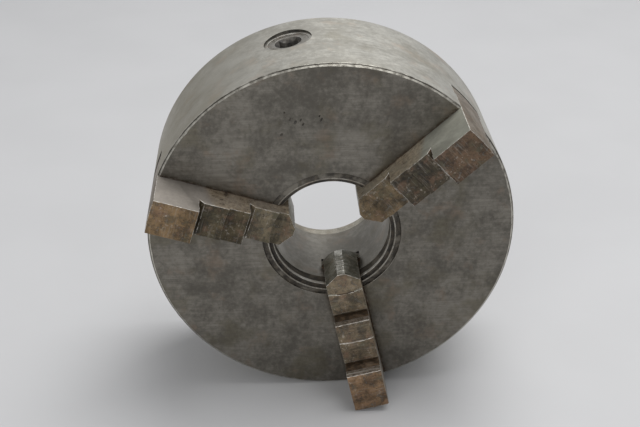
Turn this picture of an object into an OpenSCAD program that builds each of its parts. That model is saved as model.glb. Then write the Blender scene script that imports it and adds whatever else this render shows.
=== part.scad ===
// Self-centring three-jaw scroll chuck with its jaws in the reversed (outside) set.
// Frame of the whole part: the spin axis runs along Y, the jaws face -Y, +Z is up,
// and the origin is the centre of the back face. Inside this file every piece is
// drawn in the chuck's own frame, with z = 0 at the back face and z = body_t at the
// front face, and chuck_frame() turns it over once.

/* [Body] */
// Outside diameter of the body
body_d = 250; // [208:1:315]
// Thickness of the body from back face to front face
body_t = 87.5; // [84:0.5:120]
// Diameter of the through bore
bore_d = 80.8; // [60:0.2:98]
// Width of the bevel round the front rim
rim_chamfer = 1.8; // [0.5:0.1:4]
// Width of the bevel round the rear rim
rear_chamfer = 1.2; // [0.5:0.1:4]
// Wall between the bore and the journal that the scroll turns on
hub_wall = 13.6; // [12.5:0.1:16]
// Wall between the scroll chamber and the outside of the body
rim_wall = 27.5; // [26:0.5:34]
// Thickness of the front wall that carries the jaw ways
front_wall = 27.5; // [26:0.5:34]

/* [Face rings] */
// Width of the sunk ring round the mouth of the bore
mouth_ring_w = 2.7; // [1:0.1:5]
// Depth of the sunk ring round the mouth of the bore
mouth_ring_depth = 2; // [0.5:0.1:4]
// Width of the flat ridge between that ring and the face groove
face_ridge_w = 0.9; // [0.5:0.1:2]
// Width of the face groove, which slopes down from the ridge to its outer wall
face_groove_w = 3.6; // [2:0.1:5]
// Depth of the face groove at its outer wall
face_groove_depth = 1.2; // [0.5:0.1:2]
// Length of the plain lip between the sunk ring and the relief in the bore
bore_lip_l = 2.5; // [1:0.1:5]
// Depth of the turned relief inside the mouth of the bore
bore_relief_depth = 0.4; // [0.2:0.1:1]
// Length of that relief along the bore
bore_relief_l = 7; // [3:0.5:10]

/* [Jaw ways] */
// Angle of the first jaw, seen from the front, from +X towards +Z
first_jaw_angle = 42.6; // [0:0.1:119]
// Depth from the face to the underside of the guide lips
lip_depth = 21.5; // [18:0.5:24]
// Height of the wide part of each way
way_wing_h = 14; // [12:0.5:16]
// Bevel along the mouth of each way
way_chamfer = 0.6; // [0.2:0.1:1.5]

/* [Jaws] */
// Width of a jaw where it stands above the face
jaw_w = 24.3; // [20:0.1:30]
// How far the guide flange stands out on each side of a jaw
flange_lip = 1.7; // [1:0.1:3]
// Height of the guide flange
flange_h = 5.6; // [4:0.1:5.8]
// Radial length of a jaw from nose to rim
jaw_l = 98; // [81:1:118]
// Radial length of the first step, from the nose
step_1_l = 33.5; // [27:0.5:41]
// Radial length of the second step
step_2_l = 34; // [28:0.5:41]
// Height of the first step above the face
step_1_h = 9.9; // [8:0.1:12]
// Height of the second step above the face
step_2_h = 21.6; // [18:0.1:26]
// Height of the outer block above the face
block_h = 34.5; // [30:0.1:41]
// Half width of the flat on the nose
nose_half_w = 2.5; // [1:0.1:5]
// Angle between each nose flank and the jaw's centre line
nose_flank_angle = 54; // [48:1:58]
// Drop of the small ledges ground in the first two steps
ledge_drop = 1.3; // [0.5:0.1:2.5]
// Radial length of the ledge at the nose
ledge_1_l = 15.5; // [8:0.5:20]
// Radial length of the ledge on the second step
ledge_2_l = 15.2; // [8:0.1:20]
// Width and depth of the corner relief at the foot of each gripping wall
corner_relief = 3; // [1:0.1:5]
// Height of the gripping land at the top of each wall
grip_land_h = 7; // [4:0.5:9]
// Setback of the wall below each gripping land
grip_setback = 0.5; // [0.2:0.1:1]
// Spacing of the cross serrations on the nose
serration_pitch = 4.9; // [3:0.1:8]
// Depth of the cross serrations on the nose
serration_depth = 0.9; // [0.3:0.1:1.5]
// Number of cross serrations on the nose
serration_count = 5; // [0:1:6]

/* [Scroll and gears] */
// Radial pitch of the spiral thread
thread_pitch = 10; // [8:0.5:12]
// Height of the spiral thread
thread_h = 6; // [4:0.5:7]
// Side clearance between thread and jaw teeth
thread_clearance = 0.25; // [0.2:0.01:0.4]
// Thickness of the scroll plate behind its thread
scroll_disc_t = 8.8; // [7.5:0.1:12]
// Module of the pinions and of the crown teeth behind the scroll
gear_module = 2.6; // [2:0.1:3]
// Number of teeth on each pinion
pinion_teeth = 10; // [9:1:11]
// Length of the pinion teeth
gear_l = 13; // [10:0.5:15]

/* [Pinions] */
// Diameter of the pinion head, which turns in the bush
pinion_head_d = 28; // [26:0.5:32]
// Diameter of the pinion's inner spigot
spigot_d = 12; // [8:0.5:14]
// Depth of the spigot's seat in the hub
spigot_seat = 8; // [5:0.5:9]
// Depth of the pinion head below the rim
pinion_recess = 2.3; // [1.5:0.1:6]
// Depth of the bush below the rim
bush_recess = 1.9; // [1.5:0.1:6]
// Wall of the pinion bush
bush_wall = 2.5; // [2:0.1:4]
// Width across flats of the key square
key_square = 12.4; // [10:0.1:14]
// Depth of the key square
key_depth = 20; // [12:1:24]
// Diameter of the countersink round the key square
key_mouth_d = 18.6; // [16:0.1:22]

/* [Cover and fixing] */
// Radial width of the rear rim, outside the spindle register
rear_rim_w = 22; // [20:0.5:24]
// Depth of the spindle register
register_depth = 5; // [3:0.5:6]
// Width of the ledge between the register and the edge of the cover
cover_ledge_w = 1; // [0.6:0.1:2]
// Thickness of the back cover
cover_t = 11; // [9:0.5:12]
// How much wider the cover's bore is than the body's
cover_bore_step = 2; // [0.5:0.1:3]
// Wall of the cover's thrust sleeve
sleeve_wall = 8; // [5:0.5:12]
// Thickness of the thrust ring behind the scroll
thrust_ring_t = 2.5; // [1.5:0.1:3]
// Room between the thrust ring and the pinion teeth
thrust_ring_gap = 7.9; // [1:0.1:12]
// Thread diameter of the spindle flange fixings
mount_thread_d = 12; // [10:1:14]
// Depth of the spindle flange fixings
mount_thread_depth = 24; // [15:1:30]
// Thread diameter of the cover screws
cover_screw_d = 6; // [5:1:6]
// Diameter of the cover dowels
dowel_d = 5; // [4:0.5:6]
// Length of the cover screws' thread in the body
cover_screw_grip = 20; // [12:1:24]
// Length of the cover dowels
dowel_l = 18; // [14:1:22]
// Thread diameter of the pinion retaining screws
lock_screw_d = 10; // [8:1:12]
// Diameter of the dog point on the retaining screws
dog_d = 6; // [4:0.5:6]
// Depth of the retaining groove in the pinion head
lock_groove_depth = 2; // [1:0.1:2.5]
// Distance of the retaining groove from the outer end of the pinion
lock_groove_inset = 11.2; // [8:0.1:14]

/* [Hidden] */

$fn = 96;
eps = 0.01;          // overrun of a cut past the face it opens
over = 1;            // overrun of a cut into open air
run_fit = 0.05;      // radial clearance of a shaft that turns
slide_fit = 0.1;     // clearance of a face that slides
axial_gap = 0.2;     // end float of the scroll
end_gap = 0.5;       // room past the end of a shaft and over the crest of a tooth
screw_gap = 0.6;     // how much wider a hole is than the screw that passes it
hole_end = 1;        // depth of a blind hole past the end of what it holds

jaw_count = 3;
jaw_spacing = 360 / jaw_count;

body_r = body_d / 2;
bore_r = bore_d / 2;
hub_r = bore_r + hub_wall;
chamber_r = body_r - rim_wall;
chamber_top = body_t - front_wall;
cover_back = register_depth;
cover_top = register_depth + cover_t;
register_r = body_r - rear_rim_w;
cover_r = register_r - cover_ledge_w;
cover_bore_r = bore_r + cover_bore_step;

// Jaw ways and jaws, along the chuck's axis
lip_z = body_t - lip_depth;
way_floor = lip_z - way_wing_h;
way_half = jaw_w / 2 + slide_fit;
flange_half = jaw_w / 2 + flange_lip;
flange_top = lip_z - slide_fit;
jaw_base = flange_top - flange_h;
nose_bevel = 3;
serration_slope = 0.8;

// Radii of the jaw's features with the jaws as fitted
nose_r = body_r - jaw_l;
wall_1_r = nose_r + step_1_l;
wall_2_r = wall_1_r + step_2_l;
ledge_1_r = nose_r + ledge_1_l;
ledge_2_r = wall_1_r + ledge_2_l;

// Spiral thread: the groove's centre at angle a is thread_r0 + thread_pitch * a / 360
thread_hub_gap = 3;      // room between the hub and the start of the thread
thread_rim_gap = 0.6;    // land outside the end of the thread
spiral_step = 5;
thread_r0 = hub_r;
scroll_bore_r = hub_r + run_fit;
scroll_r = chamber_r - axial_gap;
thread_inner_r = hub_r + thread_hub_gap;
thread_outer_r = scroll_r - thread_rim_gap;
thread_top = chamber_top - axial_gap;
thread_root = thread_top - thread_h;
ridge_w = thread_pitch / 2 - thread_clearance;

// A jaw tooth is a crescent, rounder than any turn it leans on and flatter than any it follows
nose_overhang = 13;      // jaw ahead of the middle of its first tooth
least_tooth = 1;         // least thickness of a last tooth that the jaw's outer end cuts
flank_easing = 12;       // how much rounder a tooth's outer flank is than the hub
jaw_tooth_t = thread_pitch / 2 - thread_clearance;
jaw_tooth_tip = thread_root + end_gap;
first_tooth_r = nose_r + nose_overhang;
last_tooth_r = body_r + jaw_tooth_t / 2 - least_tooth;
tooth_outer_flank_r = hub_r - flank_easing;
tooth_inner_flank_r = body_r;

// Crown and pinions, with the tooth proportions as shares of the module
gear_wall_gap = 4.5;     // room between the pinion teeth and the chamber wall
flank_slope = 0.42;
root_easing = 0.7;       // how much of that slope reaches the root of a pinion tooth
scroll_back = thread_root - scroll_disc_t;
gear_outer_r = chamber_r - gear_wall_gap;
gear_inner_r = gear_outer_r - gear_l;
gear_mid_r = (gear_outer_r + gear_inner_r) / 2;
crown_teeth = jaw_count * round(2 * gear_mid_r / gear_module / jaw_count);
addendum = 0.78 * gear_module;
dedendum = 1.05 * gear_module;
crown_space_w = 1.85 * gear_module;
pinion_tooth_t = gear_module;
pinion_pitch_r = gear_module * pinion_teeth / 2;
pinion_tip_r = pinion_pitch_r + addendum;
pinion_root_r = pinion_pitch_r - dedendum;
pinion_z = scroll_back - pinion_pitch_r + addendum;
crown_root = scroll_back + addendum + dedendum;
pinion_head_r = pinion_head_d / 2;
head_outer_r = body_r - pinion_recess;
head_inner_r = chamber_r + end_gap;
bush_outer_r = body_r - bush_recess;
bush_od = pinion_head_d + 2 * run_fit + 2 * bush_wall;
spigot_end_r = hub_r - spigot_seat + end_gap;
lock_r = head_outer_r - lock_groove_inset;
lock_groove_w = dog_d + screw_gap;
lock_groove_r = pinion_head_r - lock_groove_depth;

// Cover and fixings; a cap screw's head is as high as its thread is wide
cover_fixing_offset = 1.3;   // fixings stand this far outside the middle of the hub's wall
mount_offset = 1;            // fixings stand this far inside the middle of the rear rim
cap_head_step = 4;           // how much wider a cap screw's head is than its thread
head_sink = 0.3;             // depth of a screw's head below the face round it
notch_gap = 1;               // room on each side of a pinion's spigot in the thrust sleeve
dowel_lead = 30;             // angle from the first cover screw to the first dowel
dowel_sink = 2;              // depth of the dowels below the back of the cover
sleeve_bore_r = hub_r + slide_fit;
sleeve_r = sleeve_bore_r + sleeve_wall;
sleeve_top = scroll_back - slide_fit - thrust_ring_t;
thrust_ring_r = gear_inner_r - thrust_ring_gap;
cover_fixing_r = (bore_r + hub_r) / 2 + cover_fixing_offset;
mount_r = (register_r + body_r) / 2 - mount_offset;
screw_head_d = cover_screw_d + cap_head_step;
screw_head_h = cover_screw_d;
lock_screw_end = pinion_z - bush_od / 2 - hole_end;

// Turns the chuck's own frame (axis along z) into the part's frame (jaws towards -Y)
module chuck_frame() {
    rotate([90, 0, 0]) children();
}

// Repeats its children at the angle of jaw k, which counts from 1
module at_jaw(k) {
    rotate([0, 0, first_jaw_angle + (k - 1) * jaw_spacing]) children();
}

// Puts its children at the angle of pinion k, midway between two jaws
module at_pinion(k) {
    rotate([0, 0, first_jaw_angle + (k - 0.5) * jaw_spacing]) children();
}

// Lays an outline drawn as (across, along the axis) out along a radius
module radial_prism(from_r, to_r) {
    translate([from_r, 0, 0]) rotate([90, 0, 90]) linear_extrude(to_r - from_r) children();
}

// Stands an outline drawn as (radius, along the axis) across a jaw
module cross_prism(half_w) {
    rotate([90, 0, 0]) linear_extrude(2 * half_w, center = true) children();
}

// A round bar along a radius at the pinion's height
module radial_bar(r, from_r, to_r) {
    translate([from_r, 0, pinion_z]) rotate([0, 90, 0]) cylinder(r = r, h = to_r - from_r);
}

// A hexagonal or square key socket cut from z = 0 upwards
module socket(across, depth, sides) {
    translate([0, 0, -eps]) rotate([0, 0, 180 / sides])
        cylinder(r = across / 2 / cos(180 / sides), h = depth + eps, $fn = sides);
}

// Half section of the body, as (radius, height above the back face)
module body_section() {
    ring_r = bore_r + mouth_ring_w;
    groove_inner_r = ring_r + face_ridge_w;
    groove_outer_r = groove_inner_r + face_groove_w;
    relief_top = body_t - mouth_ring_depth - bore_lip_l;
    polygon([
        [register_r, 0],
        [body_r - rear_chamfer, 0],
        [body_r, rear_chamfer],
        [body_r, body_t - rim_chamfer],
        [body_r - rim_chamfer, body_t],
        [groove_outer_r, body_t],
        [groove_outer_r, body_t - face_groove_depth],
        [groove_inner_r, body_t],
        [ring_r, body_t],
        [ring_r, body_t - mouth_ring_depth],
        [bore_r, body_t - mouth_ring_depth],
        [bore_r, relief_top],
        [bore_r + bore_relief_depth, relief_top],
        [bore_r + bore_relief_depth, relief_top - bore_relief_l],
        [bore_r, relief_top - bore_relief_l],
        [bore_r, cover_top],
        [hub_r, cover_top],
        [hub_r, chamber_top],
        [chamber_r, chamber_top],
        [chamber_r, cover_top],
        [cover_r, cover_top],
        [cover_r, cover_back],
        [register_r, cover_back]
    ]);
}

// Section of a jaw way, as (across, height), open through the face
module way_section() {
    half_mouth = way_half + way_chamfer;
    wing = flange_half + slide_fit;
    polygon([
        [-wing, way_floor], [wing, way_floor],
        [wing, lip_z], [way_half, lip_z],
        [way_half, body_t - way_chamfer], [half_mouth + over, body_t + over],
        [-half_mouth - over, body_t + over], [-way_half, body_t - way_chamfer],
        [-way_half, lip_z], [-wing, lip_z]
    ]);
}

module chuck_body() {
    color("#6b6964") chuck_frame() difference() {
        rotate_extrude() body_section();
        for (k = [1:jaw_count]) {
            at_jaw(k) {
                radial_prism(0, body_r + over) way_section();
                translate([mount_r, 0, -eps]) cylinder(d = mount_thread_d, h = mount_thread_depth);
                translate([cover_fixing_r, 0, cover_top - eps])
                    cylinder(d = cover_screw_d, h = cover_screw_grip + hole_end);
            }
            at_pinion(k) {
                radial_bar(bush_od / 2, gear_outer_r, body_r + over);
                radial_bar(spigot_d / 2 + run_fit, hub_r - spigot_seat, hub_r + over);
                translate([lock_r, 0, -eps]) cylinder(d = lock_screw_d, h = lock_screw_end);
                translate([lock_r, 0, 0]) cylinder(d = dog_d + slide_fit, h = pinion_z);
            }
        }
        for (k = [1:2]) dowel_place(k) cylinder(d = dowel_d, h = dowel_l + hole_end);
    }
}

// Band of the spiral thread between its inner and outer radius, cut square at both ends
module spiral_ridge() {
    function mid_r(a) = thread_r0 + thread_pitch * (a / 360 + 0.5);
    function keep(r) = min(max(r, thread_inner_r), thread_outer_r);
    start = spiral_step * ceil(360 * ((thread_inner_r - thread_r0) / thread_pitch - 0.5) / spiral_step);
    stop = spiral_step * floor(360 * ((thread_outer_r - thread_r0) / thread_pitch - 0.5) / spiral_step);
    outward = [for (a = [start:spiral_step:stop]) keep(mid_r(a) + ridge_w / 2) * [cos(a), sin(a)]];
    inward = [for (a = [stop:-spiral_step:start]) keep(mid_r(a) - ridge_w / 2) * [cos(a), sin(a)]];
    polygon(concat(outward, inward));
}

// Section of the space between two crown teeth, as (across, height)
module crown_space() {
    half = crown_space_w / 2;
    below = addendum + over;
    polygon([
        [-half - flank_slope * below, scroll_back - over],
        [half + flank_slope * below, scroll_back - over],
        [half - flank_slope * dedendum, crown_root],
        [-half + flank_slope * dedendum, crown_root]
    ]);
}

module scroll_plate() {
    color("#8c8a86") chuck_frame() {
        difference() {
            translate([0, 0, scroll_back]) cylinder(r = scroll_r, h = scroll_disc_t);
            translate([0, 0, scroll_back - over]) cylinder(r = scroll_bore_r, h = scroll_disc_t + 2 * over);
            for (i = [0:crown_teeth - 1])
                at_pinion(1) rotate([0, 0, i * 360 / crown_teeth])
                    radial_prism(gear_inner_r - over, scroll_r + over) crown_space();
        }
        translate([0, 0, thread_root - end_gap])
            linear_extrude(thread_h + end_gap) spiral_ridge();
    }
}

// Outline of a jaw from the side, as (radius, height above the back face)
module jaw_side() {
    top_1 = body_t + step_1_h;
    top_2 = body_t + step_2_h;
    top_3 = body_t + block_h;
    polygon([
        [nose_r, jaw_base + nose_bevel],
        [nose_r, top_1],
        [wall_1_r - corner_relief, top_1],
        [wall_1_r + grip_setback, top_1 - corner_relief - grip_setback],
        [wall_1_r + grip_setback, top_2 - grip_land_h],
        [wall_1_r, top_2 - grip_land_h + grip_setback],
        [wall_1_r, top_2],
        [wall_2_r - corner_relief, top_2],
        [wall_2_r + grip_setback, top_2 - corner_relief - grip_setback],
        [wall_2_r + grip_setback, top_3 - grip_land_h],
        [wall_2_r, top_3 - grip_land_h + grip_setback],
        [wall_2_r, top_3],
        [body_r + over, top_3],
        [body_r + over, jaw_base],
        [nose_r + nose_bevel, jaw_base]
    ]);
}

// Section of a jaw across its length: the shank with a guide flange at its foot
module jaw_section() {
    polygon([
        [-flange_half, 0], [flange_half, 0],
        [flange_half, flange_top], [jaw_w / 2, flange_top],
        [jaw_w / 2, body_t + block_h + over], [-jaw_w / 2, body_t + block_h + over],
        [-jaw_w / 2, flange_top], [-flange_half, flange_top]
    ]);
}

// Outline of a jaw from the front: a pointed nose and an end curved like the rim
module jaw_plan() {
    flank_l = (flange_half - nose_half_w) / tan(nose_flank_angle);
    intersection() {
        circle(r = body_r);
        polygon([
            [nose_r, -nose_half_w],
            [nose_r + flank_l, -flange_half],
            [body_r + over, -flange_half],
            [body_r + over, flange_half],
            [nose_r + flank_l, flange_half],
            [nose_r, nose_half_w]
        ]);
    }
}

// Crescent outline of one jaw tooth with its middle at radius r
module jaw_tooth(r) {
    intersection() {
        difference() {
            translate([r + jaw_tooth_t / 2 - tooth_outer_flank_r, 0]) circle(r = tooth_outer_flank_r);
            translate([r - jaw_tooth_t / 2 - tooth_inner_flank_r, 0]) circle(r = tooth_inner_flank_r);
        }
        translate([r, 0]) square(2 * [thread_pitch, flange_half], center = true);
        circle(r = body_r);
    }
}

// Section of one cross serration, as (depth into the nose, height), open past the nose
module serration() {
    mouth = 2 * serration_slope * serration_depth;
    polygon([[-serration_depth, -mouth], [serration_depth, 0], [-serration_depth, mouth]]);
}

// Jaw k; only the place of its teeth differs from jaw to jaw
module jaw(k) {
    lead = thread_pitch * (first_jaw_angle + (k - 1) * jaw_spacing) / 360;
    first = ceil((first_tooth_r - thread_r0 - lead) / thread_pitch);
    last = floor((last_tooth_r - thread_r0 - lead) / thread_pitch);
    color("#7a5c43") chuck_frame() at_jaw(k) {
        difference() {
            intersection() {
                cross_prism(flange_half + over) jaw_side();
                radial_prism(0, body_r + over) jaw_section();
                linear_extrude(body_t + block_h + over) jaw_plan();
            }
            translate([0, 0, body_t + step_1_h - ledge_drop]) cylinder(r = ledge_1_r, h = step_2_h);
            translate([0, 0, body_t + step_2_h - ledge_drop]) cylinder(r = ledge_2_r, h = block_h);
            for (i = [1:serration_count])
                translate([nose_r, 0, body_t + step_1_h - ledge_drop - i * serration_pitch])
                    cross_prism(flange_half) serration();
        }
        translate([0, 0, jaw_tooth_tip]) linear_extrude(jaw_base - jaw_tooth_tip + eps)
            for (n = [first:last]) jaw_tooth(thread_r0 + lead + n * thread_pitch);
    }
}

// Outline of the pinion gear, with a tooth pointing along +y
module pinion_gear() {
    half_pitch_t = pinion_tooth_t / 2;
    half_tip_t = half_pitch_t - flank_slope * addendum;
    half_root_t = half_pitch_t + flank_slope * dedendum * root_easing;
    polygon([
        for (i = [0:pinion_teeth - 1])
            for (p = [
                [half_root_t, pinion_root_r], [half_pitch_t, pinion_pitch_r], [half_tip_t, pinion_tip_r],
                [-half_tip_t, pinion_tip_r], [-half_pitch_t, pinion_pitch_r], [-half_root_t, pinion_root_r]
            ])
            let (a = i * 360 / pinion_teeth)
                [p[0] * cos(a) - p[1] * sin(a), p[0] * sin(a) + p[1] * cos(a)]
    ]);
}

module pinion(k) {
    color("#9a9893") chuck_frame() at_pinion(k) difference() {
        union() {
            translate([0, 0, pinion_z]) radial_prism(gear_inner_r, gear_outer_r) pinion_gear();
            radial_bar(spigot_d / 2, spigot_end_r, gear_inner_r + eps);
            radial_bar(pinion_root_r, gear_outer_r - eps, head_inner_r + eps);
            radial_bar(pinion_head_r, head_inner_r, lock_r - lock_groove_w / 2);
            radial_bar(lock_groove_r, lock_r - lock_groove_w, lock_r + lock_groove_w);
            radial_bar(pinion_head_r, lock_r + lock_groove_w / 2, head_outer_r);
        }
        translate([head_outer_r, 0, pinion_z]) rotate([0, -90, 0]) {
            socket(key_square, key_depth, 4);
            translate([0, 0, -eps])
                cylinder(d1 = key_mouth_d, d2 = key_square, h = (key_mouth_d - key_square) / 2);
        }
    }
}

module pinion_bush(k) {
    color("#a5a39e") chuck_frame() at_pinion(k) difference() {
        radial_bar(bush_od / 2, head_inner_r, bush_outer_r);
        radial_bar(pinion_head_r + run_fit, head_inner_r - over, bush_outer_r + over);
        translate([lock_r, 0, 0]) cylinder(d = dog_d + slide_fit, h = pinion_z);
    }
}

module pinion_screw(k) {
    body_l = lock_screw_end - hole_end - head_sink;
    color("#3a3a3a") chuck_frame() at_pinion(k) translate([lock_r, 0, head_sink]) difference() {
        union() {
            cylinder(d = lock_screw_d, h = body_l);
            cylinder(d = dog_d, h = pinion_z - lock_groove_r - 2 * head_sink);
        }
        socket(lock_screw_d / 2, lock_screw_d / 2, 6);
    }
}

// Places its children at the seat of cover dowel k, from inside the cover forwards
module dowel_place(k) {
    at_jaw(1) rotate([0, 0, dowel_lead + 180 * (k - 1)])
        translate([cover_fixing_r, 0, cover_back + dowel_sink]) children();
}

// The rear cover, notched for the spigots and hollowed wherever a pinion or its bush would reach it
module back_cover() {
    notch = spigot_d + 2 * notch_gap;
    pocket_r = max(bush_od / 2, pinion_tip_r) + slide_fit;
    color("#75726c") chuck_frame() difference() {
        rotate_extrude() polygon([
            [cover_bore_r, cover_back],
            [cover_r, cover_back],
            [cover_r, cover_top],
            [sleeve_r, cover_top],
            [sleeve_r, sleeve_top],
            [sleeve_bore_r, sleeve_top],
            [sleeve_bore_r, cover_top],
            [cover_bore_r, cover_top]
        ]);
        for (k = [1:jaw_count]) {
            at_jaw(k) translate([cover_fixing_r, 0, cover_back - eps]) {
                cylinder(d = cover_screw_d + screw_gap, h = cover_t + over);
                cylinder(d = screw_head_d + screw_gap, h = screw_head_h + head_sink + eps);
            }
            at_pinion(k) {
                radial_prism(hub_r - over, sleeve_r + over)
                    translate([-notch / 2, pinion_z - notch / 2]) square([notch, body_t]);
                radial_bar(pocket_r, gear_inner_r - over, cover_r + over);
            }
        }
        for (k = [1:2])
            dowel_place(k) translate([0, 0, -dowel_sink - eps]) cylinder(d = dowel_d, h = dowel_l);
    }
}

module thrust_ring() {
    color("#b0a070") chuck_frame() translate([0, 0, sleeve_top]) difference() {
        cylinder(r = thrust_ring_r, h = thrust_ring_t);
        translate([0, 0, -over]) cylinder(r = sleeve_bore_r, h = thrust_ring_t + 2 * over);
    }
}

module cover_screw(k) {
    color("#303030") chuck_frame() at_jaw(k)
        translate([cover_fixing_r, 0, cover_back + head_sink]) difference() {
            union() {
                cylinder(d = screw_head_d, h = screw_head_h);
                cylinder(d = cover_screw_d, h = cover_t - head_sink + cover_screw_grip);
            }
            socket(cover_screw_d - 1, screw_head_h / 2, 6);
        }
}

module cover_dowel(k) {
    color("#c8c6c0") chuck_frame() dowel_place(k) cylinder(d = dowel_d, h = dowel_l);
}

chuck_body();
scroll_plate();
jaw(1);  // jaw_1
jaw(2);  // jaw_2
jaw(3);  // jaw_3
pinion(1);  // pinion_1
pinion(2);  // pinion_2
pinion(3);  // pinion_3
pinion_bush(1);  // pinion_bush_1
pinion_bush(2);  // pinion_bush_2
pinion_bush(3);  // pinion_bush_3
pinion_screw(1);  // pinion_screw_1
pinion_screw(2);  // pinion_screw_2
pinion_screw(3);  // pinion_screw_3
back_cover();
thrust_ring();
cover_screw(1);  // cover_screw_1
cover_screw(2);  // cover_screw_2
cover_screw(3);  // cover_screw_3
cover_dowel(1);  // cover_dowel_1
cover_dowel(2);  // cover_dowel_2
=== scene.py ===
"""Looks of a workshop-worn self-centring three-jaw scroll chuck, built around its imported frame.

A length is in millimetres unless its note says metres, and is turned into metres where a mesh is
written. The spin axis runs along Y with the jaws towards -Y. A height is measured forwards from the back
face, so a point at height h lies at y = -h.
"""

import logging
import math
from collections.abc import Callable, Iterable, Sequence
from dataclasses import dataclass
from enum import Enum, IntEnum

import bmesh
import bpy
import numpy as np
from mathutils import Matrix, Vector


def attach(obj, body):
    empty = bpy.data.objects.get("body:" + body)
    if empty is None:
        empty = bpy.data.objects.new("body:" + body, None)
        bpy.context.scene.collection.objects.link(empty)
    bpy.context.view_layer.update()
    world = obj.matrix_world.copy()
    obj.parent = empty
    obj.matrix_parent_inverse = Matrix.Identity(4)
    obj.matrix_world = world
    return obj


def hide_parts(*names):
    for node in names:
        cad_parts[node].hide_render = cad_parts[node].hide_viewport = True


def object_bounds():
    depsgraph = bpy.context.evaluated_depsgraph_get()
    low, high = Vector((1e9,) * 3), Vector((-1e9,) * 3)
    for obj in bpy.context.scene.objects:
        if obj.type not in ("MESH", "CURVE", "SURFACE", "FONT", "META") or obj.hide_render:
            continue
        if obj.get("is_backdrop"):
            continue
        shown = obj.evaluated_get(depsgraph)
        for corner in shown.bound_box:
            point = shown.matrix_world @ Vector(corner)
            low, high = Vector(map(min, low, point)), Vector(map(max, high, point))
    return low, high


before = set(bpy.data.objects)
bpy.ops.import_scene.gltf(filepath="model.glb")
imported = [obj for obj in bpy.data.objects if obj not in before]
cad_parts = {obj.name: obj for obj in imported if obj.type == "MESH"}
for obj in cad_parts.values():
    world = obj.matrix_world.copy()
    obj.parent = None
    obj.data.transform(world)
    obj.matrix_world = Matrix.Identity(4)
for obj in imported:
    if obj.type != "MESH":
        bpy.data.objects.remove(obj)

LOG = logging.getLogger("chuck")
MM = 0.001
JAW_COUNT = 3
FIRST_JAW = 42.6
JAW_SPACING = 360 / JAW_COUNT
PLACE = "place"
WORN = "worn"

Outline = list[tuple[float, float]]
Wobble = Callable[[int, float], tuple[float, float]]
Triple = tuple[float, float, float]
Colour = tuple[float, float, float, float]
Socket = bpy.types.NodeSocket

# Rows that carry the part's X, Y and Z to a piece's own axes, or a section's axes to the part's.
SWEPT_OUTWARDS = Matrix(((0, 0, 1, 0), (0, -1, 0, 0), (1, 0, 0, 0), (0, 0, 0, 1)))
JAW_AXES = Matrix(((1, 0, 0, 0), (0, 0, 1, 0), (0, -1, 0, 0), (0, 0, 0, 1)))
PINION_AXES = Matrix(((0, 0, 1, 0), (1, 0, 0, 0), (0, 1, 0, 0), (0, 0, 0, 1)))

# Numbers of a mix node's colour sockets, which share their names with its sockets of other kinds.
MIX_BELOW = 6
MIX_ABOVE = 7
MIX_RESULT = 2
# Fineness of the tool marks, in marks per metre.
TURNING = 1900
POLISHING = 1500
GRINDING = 900
# Steps round a hole or a screw.
BUSH_STEPS = 96
SCREW_STEPS = 64
COUNTERBORE_STEPS = 48
LOCK_STEPS = 40
PIN_STEPS = 32
# Least angle in degrees of an edge that is not shaded smooth.
SHARP_ANGLE = 30
# Least share of a normal along the spin axis for a face to count as flat.
FLAT = 0.98
# How every copied edge is eased: faces across it, and the least angle in degrees that is eased.
EASE_STEPS = 2
EASE_ANGLE = 28
# Distances in metres within which points of a copied or a generated mesh are one.
COPY_MERGE = 2e-6
RECIPE_MERGE = 1e-6


def jaw_angle(k: int) -> float:
    """Angle of jaw k, from 1, in degrees from +X towards +Z."""
    return FIRST_JAW + (k - 1) * JAW_SPACING


def pinion_angle(k: int) -> float:
    """Angle of pinion k, midway between two jaws, in degrees."""
    return jaw_angle(k) + JAW_SPACING / 2


# ---------------------------------------------------------------- shader trees


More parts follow.
